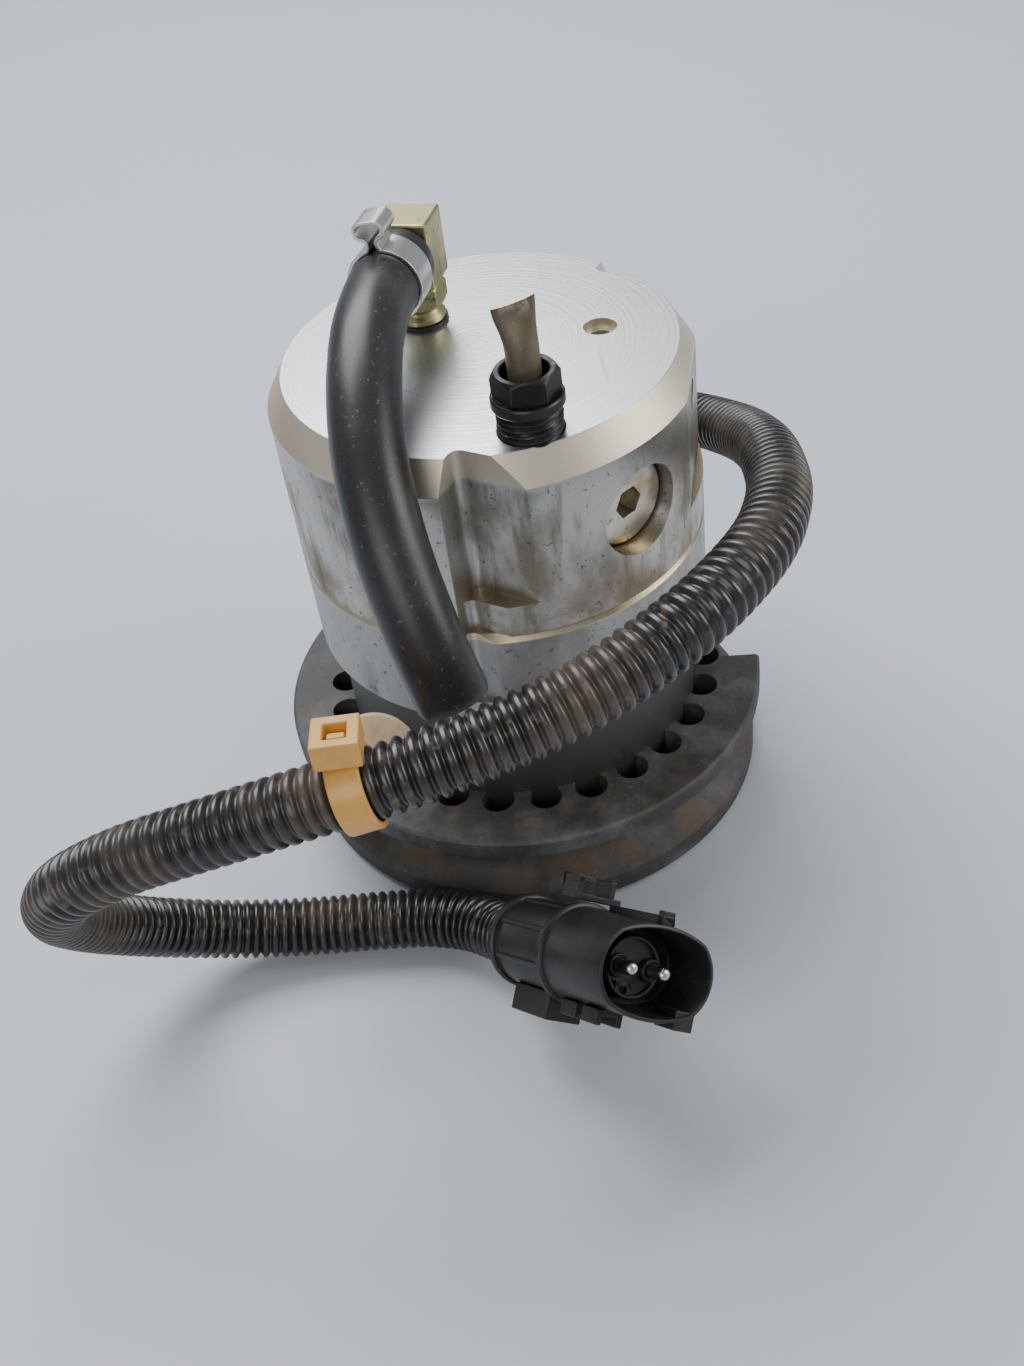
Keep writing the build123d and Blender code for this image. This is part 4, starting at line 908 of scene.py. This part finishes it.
rear_profile = [
    (0.0, 4.6), (0.0, 9.1), (0.2, 9.5), (0.7, 9.8), (1.6, 9.8), (2.0, 9.4), (2.1, 8.9), (3.0, 8.9),
    (3.1, 8.6), (3.7, 8.6), (3.8, BARREL_R), (
        19.8, BARREL_R
    ), (20.3, 8.9), (20.3, 7.3), (2.0, 7.3), (2.0, 4.6),
]
ribs = []
for angle in (20, 62, 118, 160, 205, 335):
    turn = Matrix.Rotation(math.radians(angle), 4, "Z")
    ribs.append(block(plug @ turn, 9.0, 0, 3.4, 1.2, 1.0, 16.6))
piece(
    "connector_rear",
    turned(plug, rear_profile, 96, closed=True),
    plastic,
    replaces=["connector_backshell"],
    sharp=30,
)
foot_block = block(plug, 0, -11.2, 6.0, 8.4, 5.4, 13.6)
piece("connector_rear_details", together(foot_block, *ribs), plastic, bevel=0.3)
latch = together(
    block(plug, 1.4, 11.1, 16.0, 10.8, 1.4, 5.8),
    block(plug, -3.3, 13.4, 16.0, 1.4, 3.6, 5.8),
    block(plug, 4.3, 13.4, 16.0, 1.4, 3.6, 5.8),
    block(plug, -2.4, 14.55, 16.0, 3.2, 1.3, 5.8),
)
piece("connector_latch_arm", latch, plastic, replaces=["connector_latch"], bevel=0.25)

PIN_X = (INSERT_X - PIN_SPACING / 2, INSERT_X + PIN_SPACING / 2)
core_place = plug @ Matrix.Translation((INSERT_X, 0, 0))
core_profile = [
    (20.6, 0.3), (20.6, INSERT_R), (36.9, INSERT_R), (37.4, 5.9), (37.4, 5.4), (36.4, 5.2), (36.4, 0.3)
]
insert = [turned(core_place, core_profile, 72)]
ring_profile = [(36.2, 1.45), (36.2, 2.35), (38.0, 2.3), (38.3, 2.1), (38.3, 1.9), (37.7, 1.7), (37.7, 1.45)]
for x in PIN_X:
    insert.append(turned(plug @ Matrix.Translation((x, 0, 0)), ring_profile, 40, closed=True))
insert.append(block(plug, 0.4, -3.4, 36.2, 3.8, 0.8, 1.4))
insert.append(block(plug, -1.2, -4.0, 36.2, 0.8, 2.0, 1.4))
insert.append(block(plug, 1.5, -4.0, 36.2, 0.8, 1.8, 1.4))
piece(
    "connector_core",
    together(*insert),
    plastic,
    replaces=["connector_insert"],
    sharp=30,
)
pin_profile = [(21.6, PIN_R), (41.8, PIN_R), (42.5, 1.25), (42.9, 0.9), (43.1, 0.4)]
pins = [turned(plug @ Matrix.Translation((x, 0, 0)), pin_profile, 32) for x in PIN_X]
piece("connector_contacts", together(*pins), pin_steel, replaces=["connector_pins"], sharp=50)

# ---- camera, light and floor ----
camera_data = bpy.data.cameras.new("camera")
camera_data.sensor_width = 36.0
camera_data.lens = 38.21
camera_data.clip_start = 0.01
camera_data.clip_end = 50.0
camera = bpy.data.objects.new("camera", camera_data)
camera.matrix_world = Matrix((
    (0.99011945, 0.13991506, 0.00934108, 0.0),
    (-0.08664895, 0.66283167, -0.74373794, -0.26651),
    (-0.11025171, 0.73558001, 0.66840603, 0.26006),
    (0.0, 0.0, 0.0, 1.0),
))
bpy.context.scene.collection.objects.link(camera)
bpy.context.scene.camera = camera


def lamp(name, place, target, size, power, colour):
    data = bpy.data.lights.new(name, "AREA")
    data.shape = "RECTANGLE"
    data.size, data.size_y = size
    data.energy = power
    data.color = colour
    made = bpy.data.objects.new(name, data)
    made.location = place
    made.rotation_mode = "QUATERNION"
    made.rotation_quaternion = (Vector(target) - Vector(place)).to_track_quat("-Z", "Y")
    bpy.context.scene.collection.objects.link(made)


lamp("window", (-0.25, 0.55, 0.95), (0, 0, 0.05), (0.9, 0.7), 16.0, (0.96, 0.98, 1.0))
lamp("side", (0.95, -0.15, 0.55), (0, 0, 0.06), (0.5, 0.6), 6.0, (1.0, 0.96, 0.9))
lamp("front", (-0.45, -0.95, 0.75), (0, -0.03, 0.05), (0.8, 0.6), 5.0, (1.0, 0.98, 0.95))

world = bpy.data.worlds.new("room")
world.use_nodes = True
world.node_tree.nodes["Background"].inputs["Color"].default_value = (0.80, 0.85, 0.92, 1.0)
world.node_tree.nodes["Background"].inputs["Strength"].default_value = 0.42
bpy.context.scene.world = world

floor_finish = Finish("floor_paint", (0.52, 0.55, 0.60), 0.0, 0.55)
floor_finish.blend(floor_finish.ramp(floor_finish.noise(6), 0.4, 0.7, 0.0, 0.25), (0.47, 0.50, 0.55), 0.6)
floor_finish.raise_by(floor_finish.noise(300), 0.01)
floor_mesh = bpy.data.meshes.new("floor")
floor_mesh.from_pydata([(-4, -4, 0), (4, -4, 0), (4, 4, 0), (-4, 4, 0)], [], [(0, 1, 2, 3)])
floor_mesh.materials.append(floor_finish.done())
floor = bpy.data.objects.new("floor", floor_mesh)
floor.location.z = -0.0002
bpy.context.scene.collection.objects.link(floor)

bpy.context.view_layer.update()
